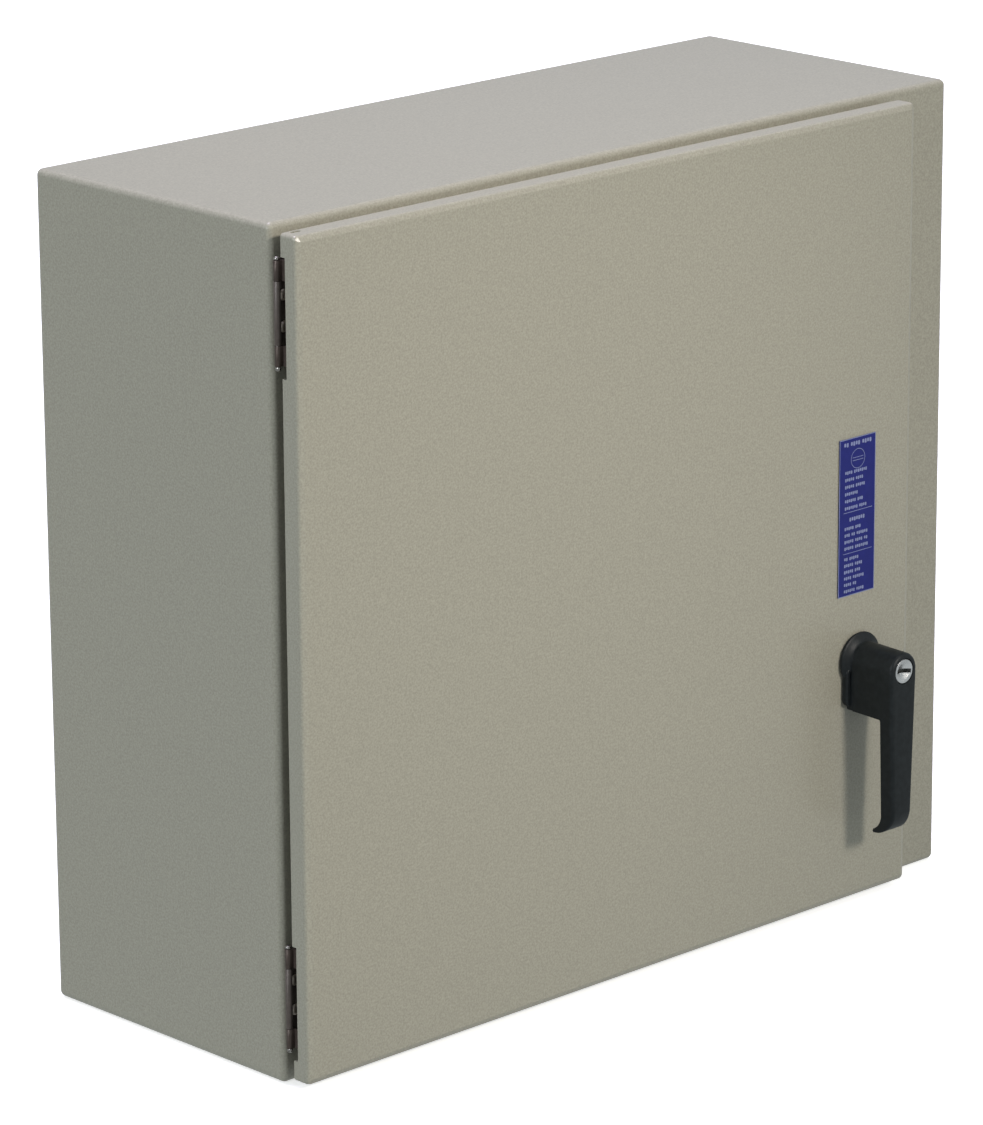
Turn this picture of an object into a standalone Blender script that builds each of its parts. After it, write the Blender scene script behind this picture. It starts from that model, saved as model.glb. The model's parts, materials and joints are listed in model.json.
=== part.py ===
"""Wall-mounted AC disconnect enclosure: a welded sheet-steel cabinet with a wide right-hand flange,
a hinged door with a three-point latch and an interlock-defeating screw in its handle, and a
three-pole fusible knife switch on a back panel.

Frame: metres, +Z up, the front faces -Y. The origin is the centre of the cabinet's back face,
which is the face that goes against the wall.
"""

import math

import bmesh
import bpy
from mathutils import Matrix, Vector

# ---------------------------------------------------------------- driving dimensions
CABINET_WIDTH = 0.5588
CABINET_HEIGHT = 0.5080
CABINET_DEPTH = 0.2032
SHEET = 0.0019
BEND_RADIUS = 0.0040
GAP = 0.0003  # between pieces that touch

DOOR_LEFT_MARGIN = 0.0010
DOOR_MARGIN = 0.00425  # above and below the door
OPERATOR_FLANGE = 0.0515  # width of the cabinet's face left bare beside the door
DOOR_STANDOFF = 0.0081  # from the cabinet's face to the edge of the door's returns
DOOR_RETURN = 0.0135
LIP_INSET = 0.0160  # from the door's edge to the lip round the opening
LIP_HEIGHT = 0.0119
GASKET_WIDTH = 0.0110

WALL_HOLE_RADIUS = 0.0056
WALL_HOLE_INSET = 0.0254

PANEL_SIDE = 0.4318
PANEL_THICKNESS = 0.0027
PANEL_LEFT_MARGIN = 0.0380
PANEL_STANDOFF = 0.0113  # from the back wall's inner face
PANEL_HOLE_INSET = 0.0127
STUD_RADIUS = 0.0030

HINGE_LENGTH = 0.0605
HINGE_MIDDLE_KNUCKLE = 0.0365
HINGE_HEIGHTS = {"upper": 0.2038, "lower": -0.2002}
HINGE_OUT = 0.0012  # of the pin, in from the cabinet's left side
HINGE_FORWARD = 0.0045  # of the pin, in front of the cabinet's face
KNUCKLE_RADIUS = 0.0020
KNUCKLE_BORE = 0.0013
HINGE_PIN_RADIUS = 0.0010
HINGE_LEAF = 0.0015
HINGE_SCREW_SPACING = 0.0180
HINGE_SCREW_IN = 0.0078  # of the screws, in from the cabinet's left side
HINGE_NOTCH = 0.0034  # cut back from the edge of the door's return
HINGE_NOTCH_ENDS = (-0.0370, 0.0325)  # of the notch, about the hinge's middle

HANDLE_X = 0.1814
HANDLE_Z = -0.0935
HANDLE_REACH = 0.0390  # from the door's face to the front of the hub
HANDLE_TOP_RADIUS = 0.0115
HANDLE_TIP_HALF_WIDTH = 0.0078
HANDLE_LENGTH = 0.1063  # from the axis down to the tip
HUB_BOTTOM = 0.0305  # from the axis down to the underside of the hub
COLLAR_RADIUS = 0.0174
BASE_THICKNESS = 0.0047
BASE_FOOT_DROP = 0.0277
BASE_FOOT_HALF_WIDTH = 0.0148
BASE_FOOT_THICKNESS = 0.0030
SEAL_THICKNESS = 0.0010
SHAFT_RADIUS = 0.0075
SHAFT_SQUARE = 0.0100
SHAFT_THREAD_RADIUS = 0.0045
SPINDLE_RADIUS = 0.0030
DEFEATER_SCREW_RADIUS = 0.00785

CRANK_RADIUS = 0.0180  # of the cam's two pins about the handle's axis
CRANK_PIN_RADIUS = 0.0025
CRANK_SLACK = 0.0008  # above and below the pin, in the rod's slot
ROD_OFFSET = 0.0154  # of each rod's middle from the handle's axis
ROD_WIDTH = 0.0100
ROD_THICKNESS = 0.0030
PAWL_REACH = 0.0277
ROLLER_RADIUS = 0.0075
ROLLER_WIDTH = 0.0080
LATCH_CLEARANCE = 0.0006  # the latch stops this short of the opening's edge
GUIDE_HALF_WIDTH = 0.0080
GUIDE_HEIGHTS = {"upper": 0.1650, "lower": -0.1650}

SWITCH_X = 0.0550
SWITCH_HALF_WIDTH = 0.0850
SWITCH_HALF_HEIGHT = 0.1500
SWITCH_BASE = 0.0180
BARRIER_HEIGHT = 0.0320
POLE_PITCH = 0.0500
BLADE_THICKNESS = 0.0030
PIVOT_Y = -0.0570
PIVOT_Z = 0.0100
FUSE_RADIUS = 0.0103
FUSE_TOP = -0.0160
FUSE_LENGTH = 0.0603
FERRULE_LENGTH = 0.0140
STRAP = 0.0030  # thickness of the terminals' straps
LUG_HEIGHT = 0.0230
CROSSBAR_BOTTOM, CROSSBAR_TOP = 0.0620, 0.0780

LABEL_SIZE = (0.0325, 0.1003)
LABEL_CENTRE = (0.1783, -0.0008)

# ---------------------------------------------------------------- derived places
LEFT, RIGHT = -CABINET_WIDTH / 2, CABINET_WIDTH / 2
BOTTOM, TOP = -CABINET_HEIGHT / 2, CABINET_HEIGHT / 2
FRONT = -CABINET_DEPTH  # the plane of the cabinet's face
DOOR_LEFT, DOOR_RIGHT = LEFT + DOOR_LEFT_MARGIN, RIGHT - OPERATOR_FLANGE
DOOR_BOTTOM, DOOR_TOP = BOTTOM + DOOR_MARGIN, TOP - DOOR_MARGIN
DOOR_BACK = FRONT - DOOR_STANDOFF
DOOR_FRONT = DOOR_BACK - DOOR_RETURN
DOOR_INSIDE = DOOR_FRONT + SHEET
LIP_LEFT, LIP_RIGHT = DOOR_LEFT + LIP_INSET, DOOR_RIGHT - LIP_INSET
LIP_BOTTOM, LIP_TOP = DOOR_BOTTOM + LIP_INSET, DOOR_TOP - LIP_INSET
HINGE_X, HINGE_Y = LEFT + HINGE_OUT, FRONT - HINGE_FORWARD
PANEL_LEFT = LEFT + PANEL_LEFT_MARGIN
PANEL_BACK = -SHEET - PANEL_STANDOFF - GAP
PANEL_FRONT = PANEL_BACK - PANEL_THICKNESS
CAM_FRONT, CAM_BACK = FRONT + 0.0035, FRONT + 0.0075
ROD_FRONT = CAM_BACK + 0.0010
ROD_BACK = ROD_FRONT + ROD_THICKNESS
ROD_X = {"upper": HANDLE_X + ROD_OFFSET, "lower": HANDLE_X - ROD_OFFSET}
ROLLER_Y = (ROD_FRONT + ROD_BACK) / 2
ROLLER_EDGE = SHEET + LATCH_CLEARANCE + ROLLER_RADIUS
ROLLER_Z = {"upper": LIP_TOP - ROLLER_EDGE, "lower": LIP_BOTTOM + ROLLER_EDGE}
CRANK_RISE = CRANK_RADIUS * math.sin(math.radians(45))
SWITCH_BACK = PANEL_FRONT - GAP
SWITCH_FLOOR = SWITCH_BACK - SWITCH_BASE  # the base's face, where the terminals sit
TERMINAL_BACK = SWITCH_FLOOR - GAP
BARRIER_EDGE = SWITCH_FLOOR - BARRIER_HEIGHT
CROSSBAR_BACK = BARRIER_EDGE - 0.0015
CROSSBAR_FRONT = CROSSBAR_BACK - 0.0140
JAW_HALF_GAP = BLADE_THICKNESS / 2 + 0.0004
POLES = [SWITCH_X + POLE_PITCH * i for i in (-1, 0, 1)]

X_AXIS, Y_AXIS, Z_AXIS, FRONTWARD = "X", "Y", "Z", "-Y"
AXIS_TURN = {
    FRONTWARD: Matrix.Rotation(math.radians(90), 4, "X"),
    X_AXIS: Matrix.Rotation(math.radians(90), 4, "Y"),
    Y_AXIS: Matrix.Rotation(math.radians(-90), 4, "X"),
    Z_AXIS: Matrix.Identity(4),
}

# ---------------------------------------------------------------- scene and materials
FINISHES = {  # colour, roughness, metallic
    "paint": ((0.33, 0.31, 0.26), 0.45, 0.0),
    "zinc": ((0.62, 0.62, 0.60), 0.35, 1.0),
    "hinge_steel": ((0.30, 0.27, 0.24), 0.35, 1.0),
    "bright_steel": ((0.80, 0.80, 0.80), 0.20, 1.0),
    "handle_black": ((0.012, 0.012, 0.013), 0.40, 0.0),
    "rubber": ((0.03, 0.03, 0.03), 0.80, 0.0),
    "foam": ((0.05, 0.05, 0.05), 0.90, 0.0),
    "label_blue": ((0.02, 0.03, 0.20), 0.35, 0.0),
    "panel_white": ((0.75, 0.75, 0.72), 0.40, 0.0),
    "phenolic": ((0.03, 0.03, 0.035), 0.50, 0.0),
    "copper": ((0.80, 0.42, 0.28), 0.30, 1.0),
    "aluminium": ((0.72, 0.72, 0.72), 0.35, 1.0),
    "fuse_body": ((0.45, 0.33, 0.16), 0.60, 0.0),
    "nylon": ((0.70, 0.69, 0.64), 0.50, 0.0),
    "shield": ((0.55, 0.58, 0.60), 0.15, 0.0),
    "lever_red": ((0.45, 0.03, 0.02), 0.45, 0.0),
}


def clear_scene():
    for obj in list(bpy.data.objects):
        bpy.data.objects.remove(obj, do_unlink=True)


def new_collection(name):
    collection = bpy.data.collections.new(name)
    bpy.context.scene.collection.children.link(collection)
    return collection


def make_materials():
    made = {}
    for name, (colour, roughness, metallic) in FINISHES.items():
        material = bpy.data.materials.new(name)
        material.use_nodes = True
        shader = material.node_tree.nodes["Principled BSDF"]
        shader.inputs["Base Color"].default_value = (*colour, 1.0)
        shader.inputs["Roughness"].default_value = roughness
        shader.inputs["Metallic"].default_value = metallic
        made[name] = material
    return made


clear_scene()
PARTS = new_collection("ac_disconnect_enclosure")
TOOLS = new_collection("cutters_and_joined_shapes")
MATERIALS = make_materials()


# ---------------------------------------------------------------- modelling helpers
def place(obj, collection):
    for old in list(obj.users_collection):
        old.objects.unlink(obj)
    collection.objects.link(obj)


def named(obj, name, finish):
    """Makes obj a part with this name and material, or a hidden helper if it has no finish."""
    obj.name = name
    if finish is None:
        place(obj, TOOLS)
        obj.hide_render = True
        obj.display_type = "WIRE"
        return obj
    place(obj, PARTS)
    obj.data.materials.clear()
    obj.data.materials.append(MATERIALS[finish])
    obj.data.shade_smooth()
    obj.data.set_sharp_from_angle(angle=math.radians(35))
    return obj


def box(name, low, high, finish=None):
    low, high = Vector(low), Vector(high)
    bpy.ops.mesh.primitive_cube_add(size=1, location=(low + high) / 2)
    block = bpy.context.object
    block.scale = high - low
    bpy.ops.object.transform_apply(location=False, rotation=False, scale=True)
    return named(block, name, finish)


def cylinder(name, centre, axis, radius, length, finish=None, sides=24, turn=0.0):
    bpy.ops.mesh.primitive_cylinder_add(vertices=sides, radius=radius, depth=length)
    rod = bpy.context.object
    rod.matrix_world = (
        Matrix.Translation(centre) @ AXIS_TURN[axis] @ Matrix.Rotation(turn, 4, "Z")
    )
    return named(rod, name, finish)


def turned(name, centre, axis, profile, finish=None, steps=24):
    """A solid turned about axis through centre. The profile is (radius, distance along the axis)."""
    mesh = bpy.data.meshes.new(name)
    points = [(radius, 0.0, along) for radius, along in profile]
    edges = [(i, i + 1) for i in range(len(points) - 1)]
    if profile[0][0] > 0 or profile[-1][0] > 0:
        edges.append((len(points) - 1, 0))
    mesh.from_pydata(points, edges, [])
    obj = bpy.data.objects.new(name, mesh)
    obj.matrix_world = Matrix.Translation(centre) @ AXIS_TURN[axis]
    screw = obj.modifiers.new("Screw", "SCREW")
    screw.axis = "Z"
    screw.steps = steps
    screw.render_steps = steps
    screw.use_merge_vertices = True
    screw.merge_threshold = 0.00001
    return named(obj, name, finish)


def arc(centre, radius, start, end, steps):
    """Points along an arc, in degrees, both ends included."""
    angles = [math.radians(start + (end - start) * i / steps) for i in range(steps + 1)]
    return [
        (centre[0] + radius * math.cos(a), centre[1] + radius * math.sin(a))
        for a in angles
    ]


def rounded_rectangle(low, high, radius, steps=4):
    """The corners of a rectangle as arcs, anticlockwise."""
    (x0, y0), (x1, y1) = low, high
    corners = [(x1, y1, 0), (x0, y1, 90), (x0, y0, 180), (x1, y0, 270)]
    points = []
    for x, y, start in corners:
        centre = (
            x - math.copysign(radius, x - (x0 + x1) / 2),
            y - math.copysign(radius, y - (y0 + y1) / 2),
        )
        points += arc(centre, radius, start, start + 90, steps)
    return points


def as_mesh(obj):
    """The evaluated curve as a mesh object with its caps welded, in the curve's place."""
    bpy.context.view_layer.update()
    graph = bpy.context.evaluated_depsgraph_get()
    mesh = bpy.data.meshes.new_from_object(obj.evaluated_get(graph))
    work = bmesh.new()
    work.from_mesh(mesh)
    bmesh.ops.remove_doubles(work, verts=work.verts, dist=0.00001)
    work.to_mesh(mesh)
    work.free()
    solid = bpy.data.objects.new(obj.name, mesh)
    solid.matrix_world = obj.matrix_world.copy()
    bpy.data.objects.remove(obj, do_unlink=True)
    return solid


def plate(name, outlines, centre, axis, thickness, finish=None):
    """A flat outline, with holes if there are more, extruded along axis about centre.
    Its points are (x, z) for axis Y, (y, z) for axis X and (x, y) for axis Z."""
    curve = bpy.data.curves.new(name, "CURVE")
    curve.dimensions = "2D"
    curve.fill_mode = "BOTH"
    curve.extrude = thickness / 2
    for outline in outlines:
        spline = curve.splines.new("POLY")
        spline.points.add(len(outline) - 1)
        for point, (across, up) in zip(spline.points, outline):
            point.co = (across, up, 0.0, 1.0)
        spline.use_cyclic_u = True
    obj = bpy.data.objects.new(name, curve)
    bpy.context.scene.collection.objects.link(obj)
    stand = {
        X_AXIS: Matrix(((0, 0, 1, 0), (1, 0, 0, 0), (0, 1, 0, 0), (0, 0, 0, 1))),
        Y_AXIS: Matrix(((1, 0, 0, 0), (0, 0, -1, 0), (0, 1, 0, 0), (0, 0, 0, 1))),
        Z_AXIS: Matrix.Identity(4),
    }
    obj.matrix_world = Matrix.Translation(centre) @ stand[axis]
    return named(as_mesh(obj), name, finish)


def combine(obj, tool, operation):
    if tool.name not in TOOLS.objects:
        named(tool, tool.name, None)
    boolean = obj.modifiers.new(operation.title(), "BOOLEAN")
    boolean.operation = operation
    boolean.object = tool
    boolean.solver = "EXACT"
    return obj


def cut(obj, *tools):
    for tool in tools:
        combine(obj, tool, "DIFFERENCE")
    return obj


def join(obj, *tools):
    for tool in tools:
        combine(obj, tool, "UNION")
    return obj


def bolt_hole(name, x, z, y0, y1, radius, sides=20):
    """A round cutter along Y that runs a little past both ends."""
    extra = 0.001
    return cylinder(
        name, (x, (y0 + y1) / 2, z), Y_AXIS, radius, abs(y1 - y0) + 2 * extra, sides=sides
    )


def hex_nut(name, centre, across_flats, bore, thickness, finish, turn=0.0):
    corner = across_flats / 2 / math.cos(math.radians(30))
    nut = cylinder(name, centre, Y_AXIS, corner, thickness, finish, 6, turn)
    return cut(nut, cylinder(name + "_bore", centre, Y_AXIS, bore, thickness * 2, sides=20))


def bend_and_thicken(name, mesh, radius, finish):
    """Adds the bends, from the mesh's bevel weights, and then the sheet's thickness inwards."""
    obj = bpy.data.objects.new(name, mesh)
    named(obj, name, finish)
    bends = obj.modifiers.new("Bends", "BEVEL")
    bends.limit_method = "WEIGHT"
    bends.width = radius
    bends.segments = 3
    wall = obj.modifiers.new("Sheet", "SOLIDIFY")
    wall.thickness = SHEET
    wall.offset = -1
    wall.solidify_mode = "NON_MANIFOLD"
    wall.nonmanifold_thickness_mode = "CONSTRAINTS"
    return obj


# ---------------------------------------------------------------- cabinet
def stud_places():
    inner = PANEL_SIDE / 2 - PANEL_HOLE_INSET
    middle = PANEL_LEFT + PANEL_SIDE / 2
    return [(middle + sx * inner, sz * inner) for sx in (-1, 1) for sz in (-1, 1)]


def hinge_screw_places():
    """The hinge's name, the screw's number on it, and the screw's x and z."""
    x = LEFT + HINGE_SCREW_IN
    return [
        (label, number, x, z + step * HINGE_SCREW_SPACING / 2)
        for label, z in HINGE_HEIGHTS.items()
        for number, step in ((1, 1), (2, -1))
    ]


def cabinet_shell():
    """Back, sides, top and bottom, the face round the opening, and the lip that meets the gasket."""
    mesh = bpy.data.meshes.new("cabinet_shell")
    work = bmesh.new()
    weight = work.edges.layers.float.new("bevel_weight_edge")
    bmesh.ops.create_cube(work, size=1)
    bmesh.ops.scale(work, vec=(CABINET_WIDTH, CABINET_DEPTH, CABINET_HEIGHT), verts=work.verts)
    bmesh.ops.translate(work, vec=(0, FRONT / 2, 0), verts=work.verts)
    face = next(f for f in work.faces if f.normal.y < -0.9)
    bmesh.ops.inset_region(work, faces=[face], thickness=0.01)
    for vert in face.verts:
        vert.co.x = LIP_LEFT if vert.co.x < 0 else LIP_RIGHT
        vert.co.z = LIP_BOTTOM if vert.co.z < 0 else LIP_TOP
    lip = bmesh.ops.extrude_discrete_faces(work, faces=[face])["faces"][0]
    for vert in lip.verts:
        vert.co.y = FRONT - LIP_HEIGHT
    for edge in work.edges:
        round_opening = sum(abs(v.co.z) < TOP - 0.002 for v in edge.verts)
        edge[weight] = (1.0, 0.0, 0.5)[round_opening]
    for edge in lip.edges:
        edge[weight] = 0.0
    bmesh.ops.delete(work, geom=[lip], context="FACES_ONLY")
    work.to_mesh(mesh)
    work.free()
    shell = bend_and_thicken("cabinet_shell", mesh, BEND_RADIUS, "paint")
    for i, (x, z) in enumerate(stud_places(), 1):
        collar_end = SHEET - 0.0005
        profile = [
            (0.0, -PANEL_FRONT + 0.0085),
            (STUD_RADIUS, -PANEL_FRONT + 0.0085),
            (STUD_RADIUS, -PANEL_BACK - GAP),
            (0.0060, -PANEL_BACK - GAP),
            (0.0060, collar_end),
            (0.0, collar_end),
        ]
        join(shell, turned(f"welded_stud_{i}", (x, 0, z), FRONTWARD, profile, steps=16))
    for sx in (-1, 1):
        for sz in (-1, 1):
            x = sx * (CABINET_WIDTH / 2 - WALL_HOLE_INSET)
            z = sz * (CABINET_HEIGHT / 2 - WALL_HOLE_INSET)
            cut(shell, bolt_hole("wall_hole", x, z, -SHEET, 0, WALL_HOLE_RADIUS))
    for _, _, x, z in hinge_screw_places():
        cut(shell, bolt_hole("hinge_screw_hole", x, z, FRONT, FRONT + SHEET, 0.0020, 12))
    return shell


def keeper(name, along, spot, length, turn):
    """A ramp behind the opening's edge for a latch roller or the pawl. turn is the edge's side."""
    reach, height, slope = 0.0120, 0.0030, 0.0050
    back = FRONT + SHEET + GAP
    edge = -0.0013
    section = [
        (edge, back),
        (reach, back),
        (reach, back + height),
        (edge + slope, back + height),
    ]
    ramp = plate(name, [section], (0, 0, 0), Z_AXIS, length, "zinc")
    ramp.matrix_world = Matrix.Translation(along) @ Matrix.Rotation(turn, 4, "Y") @ spot
    return ramp


def keepers():
    flat = Matrix.Identity(4)
    quarter = math.radians(90)
    return [
        keeper("upper_keeper", (ROD_X["upper"], 0, LIP_TOP), flat, 0.030, -quarter),
        keeper("lower_keeper", (ROD_X["lower"], 0, LIP_BOTTOM), flat, 0.030, quarter),
        keeper("centre_keeper", (LIP_RIGHT, 0, HANDLE_Z), flat, 0.030, 0.0),
    ]


def back_panel():
    middle = PANEL_LEFT + PANEL_SIDE / 2
    half = PANEL_SIDE / 2
    outline = rounded_rectangle((middle - half, -half), (middle + half, half), 0.006)
    centre = (0, (PANEL_BACK + PANEL_FRONT) / 2, 0)
    panel = plate("back_panel", [outline], centre, Y_AXIS, PANEL_THICKNESS, "panel_white")
    nuts = []
    for i, (x, z) in enumerate(stud_places(), 1):
        cut(panel, bolt_hole("panel_hole", x, z, PANEL_FRONT, PANEL_BACK, 0.0036))
        nut_centre = (x, PANEL_FRONT - GAP - 0.0025, z)
        nuts.append(hex_nut(f"panel_nut_{i}", nut_centre, 0.0110, 0.0034, 0.0050, "zinc"))
    return [panel] + nuts


def ground_bar():
    """A drilled aluminium bar for the equipment grounding conductors."""
    x, z, half_length = PANEL_LEFT + 0.085, -0.180, 0.050
    back = PANEL_FRONT - GAP
    bar = box(
        "ground_bar",
        (x - half_length, back - 0.020, z - 0.006),
        (x + half_length, back - 0.008, z + 0.006),
        "aluminium",
    )
    for side in (-1, 1):
        foot_x = x + side * (half_length - 0.008)
        foot_low = (foot_x - 0.006, back - 0.010, z - 0.005)
        foot_high = (foot_x + 0.006, back, z + 0.005)
        join(bar, box("ground_foot", foot_low, foot_high))
    holes = 6
    for i in range(holes):
        hole_x = x + (i - (holes - 1) / 2) * 0.0140
        hole = (hole_x, back - 0.014, z)
        cut(bar, cylinder("ground_hole", hole, Z_AXIS, 0.0028, 0.02, sides=12))
    return bar


# ---------------------------------------------------------------- hinges
def knuckle(name, z0, z1):
    centre = (HINGE_X, HINGE_Y, (z0 + z1) / 2)
    return cylinder(name, centre, Z_AXIS, KNUCKLE_RADIUS, z1 - z0, sides=20)


def hinge(label):
    """Two leaves, the pin and two screws. The cabinet's leaf has the middle knuckle, and the
    door's leaf is open between its two knuckles, where the screws are driven."""
    z = HINGE_HEIGHTS[label]
    half, middle = HINGE_LENGTH / 2, HINGE_MIDDLE_KNUCKLE / 2
    leaf_back = FRONT - GAP
    leaf_front = leaf_back - HINGE_LEAF
    bend_x = HINGE_X + 0.0026
    cabinet_leaf = box(
        f"{label}_hinge_cabinet_leaf",
        (bend_x - 0.0008, leaf_front, z - half),
        (LEFT + 0.0149, leaf_back, z + half),
        "hinge_steel",
    )
    web = [
        (HINGE_X - 0.0006, HINGE_Y + 0.0006),
        (HINGE_X + 0.0008, HINGE_Y + 0.0006),
        (bend_x + 0.0006, leaf_front + 0.0002),
        (bend_x + 0.0006, leaf_back - 0.0002),
    ]
    join(
        cabinet_leaf,
        plate("leaf_web", [web], (0, 0, z), Z_AXIS, HINGE_MIDDLE_KNUCKLE),
        knuckle("middle_knuckle", z - middle, z + middle),
    )
    cut(cabinet_leaf, hinge_bore(z))
    for screw_label, _, x, screw_z in hinge_screw_places():
        if screw_label == label:
            hole = bolt_hole("leaf_hole", x, screw_z, leaf_front, leaf_back, 0.0020, 12)
            cut(cabinet_leaf, hole)

    inside = DOOR_LEFT + SHEET + GAP
    web_front, web_back = HINGE_Y - 0.0020, HINGE_Y - 0.0008
    door_leaf = box(
        f"{label}_hinge_door_leaf",
        (inside, DOOR_FRONT + BEND_RADIUS + 0.0002, z - half),
        (inside + HINGE_LEAF, DOOR_BACK - HINGE_NOTCH - 0.0005, z + half),
        "hinge_steel",
    )
    for end in (-1, 1):
        z0, z1 = sorted((z + end * (middle + GAP), z + end * half))
        arm_low = (inside + 0.0001, DOOR_BACK - HINGE_NOTCH - 0.0030, z0)
        arm_high = (inside + HINGE_LEAF - 0.0001, web_back - 0.0001, z1)
        join(
            door_leaf,
            box("door_leaf_arm", arm_low, arm_high),
            box("door_leaf_web", (HINGE_X, web_front, z0), (inside + 0.0007, web_back, z1)),
            knuckle("outer_knuckle", z0, z1),
        )
    cut(door_leaf, hinge_bore(z))

    top, bottom, round_end = half + 0.0021, -half - 0.0028, 0.0008
    pin_profile = [
        (0.0, top),
        (KNUCKLE_RADIUS - round_end, top),
        (KNUCKLE_RADIUS - 0.0002, top - round_end),
        (KNUCKLE_RADIUS - 0.0002, half + GAP),
        (HINGE_PIN_RADIUS, half + GAP),
        (HINGE_PIN_RADIUS, -half - GAP),
        (KNUCKLE_RADIUS - 0.0002, -half - GAP),
        (KNUCKLE_RADIUS - 0.0002, bottom + round_end),
        (KNUCKLE_RADIUS - round_end, bottom),
        (0.0, bottom),
    ]
    pin_centre = (HINGE_X, HINGE_Y, z)
    pin = turned(f"{label}_hinge_pin", pin_centre, Z_AXIS, pin_profile, "hinge_steel", 16)
    return cabinet_leaf, door_leaf, pin


def hinge_bore(z):
    return cylinder("hinge_bore", (HINGE_X, HINGE_Y, z), Z_AXIS, KNUCKLE_BORE, 0.08, sides=16)


def hinge_screw(name, x, z):
    """A round-headed screw through the cabinet's leaf and face."""
    under = FRONT - GAP - HINGE_LEAF - GAP
    head, head_radius, shank, tail = 0.0021, 0.0034, 0.0016, 0.0060
    profile = [
        (0.0, head),
        (head_radius * 0.5, head - 0.0002),
        (head_radius * 0.85, head - 0.0009),
        (head_radius, 0.0004),
        (head_radius, 0.0),
        (shank, 0.0),
        (shank, -tail),
        (0.0, -tail),
    ]
    return turned(name, (x, under, z), FRONTWARD, profile, "zinc", 16)


# ---------------------------------------------------------------- door
def door_shell():
    mesh = bpy.data.meshes.new("door_shell")
    work = bmesh.new()
    bmesh.ops.create_cube(work, size=1)
    size = (DOOR_RIGHT - DOOR_LEFT, DOOR_RETURN, DOOR_TOP - DOOR_BOTTOM)
    middle = (DOOR_RIGHT + DOOR_LEFT) / 2, (DOOR_TOP + DOOR_BOTTOM) / 2
    centre = (middle[0], (DOOR_FRONT + DOOR_BACK) / 2, middle[1])
    bmesh.ops.scale(work, vec=size, verts=work.verts)
    bmesh.ops.translate(work, vec=centre, verts=work.verts)
    open_side = next(f for f in work.faces if f.normal.y > 0.9)
    open_edges = list(open_side.edges)
    weight = work.edges.layers.float.new("bevel_weight_edge")
    for edge in work.edges:
        edge[weight] = 0.0 if edge in open_edges else 1.0
    bmesh.ops.delete(work, geom=[open_side], context="FACES_ONLY")
    work.to_mesh(mesh)
    work.free()
    door = bend_and_thicken("door_shell", mesh, BEND_RADIUS, "paint")
    for z in HINGE_HEIGHTS.values():
        notch = box(
            "hinge_notch",
            (DOOR_LEFT - 0.001, DOOR_BACK - HINGE_NOTCH, z + HINGE_NOTCH_ENDS[0]),
            (DOOR_LEFT + SHEET + 0.0002, DOOR_BACK + 0.001, z + HINGE_NOTCH_ENDS[1]),
        )
        cut(door, notch)
    sleeve_hole = bolt_hole(
        "sleeve_hole", HANDLE_X, HANDLE_Z, DOOR_FRONT, DOOR_INSIDE, 0.0116, 32
    )
    return cut(door, sleeve_hole)


def door_gasket():
    middle = SHEET / 2
    half = GASKET_WIDTH / 2
    outer = rounded_rectangle(
        (LIP_LEFT + middle - half, LIP_BOTTOM + middle - half),
        (LIP_RIGHT - middle + half, LIP_TOP - middle + half),
        0.008,
    )
    inner = rounded_rectangle(
        (LIP_LEFT + middle + half, LIP_BOTTOM + middle + half),
        (LIP_RIGHT - middle - half, LIP_TOP - middle - half),
        0.003,
    )
    front, back = DOOR_INSIDE + GAP, FRONT - LIP_HEIGHT - GAP
    return plate(
        "door_gasket", [outer, inner], (0, (front + back) / 2, 0), Y_AXIS, back - front, "foam"
    )


def instruction_label():
    x, z = LABEL_CENTRE
    w, h = LABEL_SIZE
    outline = rounded_rectangle((x - w / 2, z - h / 2), (x + w / 2, z + h / 2), 0.001, 2)
    thickness = 0.0003
    y = DOOR_FRONT - GAP - thickness / 2
    return plate("instruction_label", [outline], (0, y, 0), Y_AXIS, thickness, "label_blue")


def rod_guide(label):
    """An angle bracket on the door with a window that the latch rod slides in."""
    x, z = ROD_X[label], GUIDE_HEIGHTS[label]
    front = DOOR_INSIDE + GAP
    guide = box(
        f"{label}_rod_guide",
        (x - GUIDE_HALF_WIDTH, front, z - 0.0015),
        (x + GUIDE_HALF_WIDTH, ROD_BACK + 0.0040, z + 0.0015),
        "zinc",
    )
    foot_low = (x - GUIDE_HALF_WIDTH, front, z - 0.009)
    foot_high = (x + GUIDE_HALF_WIDTH, front + 0.002, z + 0.009)
    join(guide, box("guide_foot", foot_low, foot_high))
    play = 0.0006
    window = box(
        "guide_window",
        (x - ROD_WIDTH / 2 - play, ROD_FRONT - play, z - 0.003),
        (x + ROD_WIDTH / 2 + play, ROD_BACK + play, z + 0.003),
    )
    return cut(guide, window)


# ---------------------------------------------------------------- handle
def keyhole_outline(top_radius, half_width, drop, corner):
    """A round top with a squared foot below it, as (x, z) about the handle's axis."""
    join_angle = math.degrees(math.asin(half_width / top_radius)) if half_width < top_radius else 90
    top = arc((0, 0), top_radius, join_angle - 90, 270 - join_angle, 20)
    bottom = arc((-half_width + corner, -drop + corner), corner, 180, 270, 3)
    bottom += arc((half_width - corner, -drop + corner), corner, 270, 360, 3)
    return [(HANDLE_X + x, HANDLE_Z + z) for x, z in top + bottom]


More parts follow.
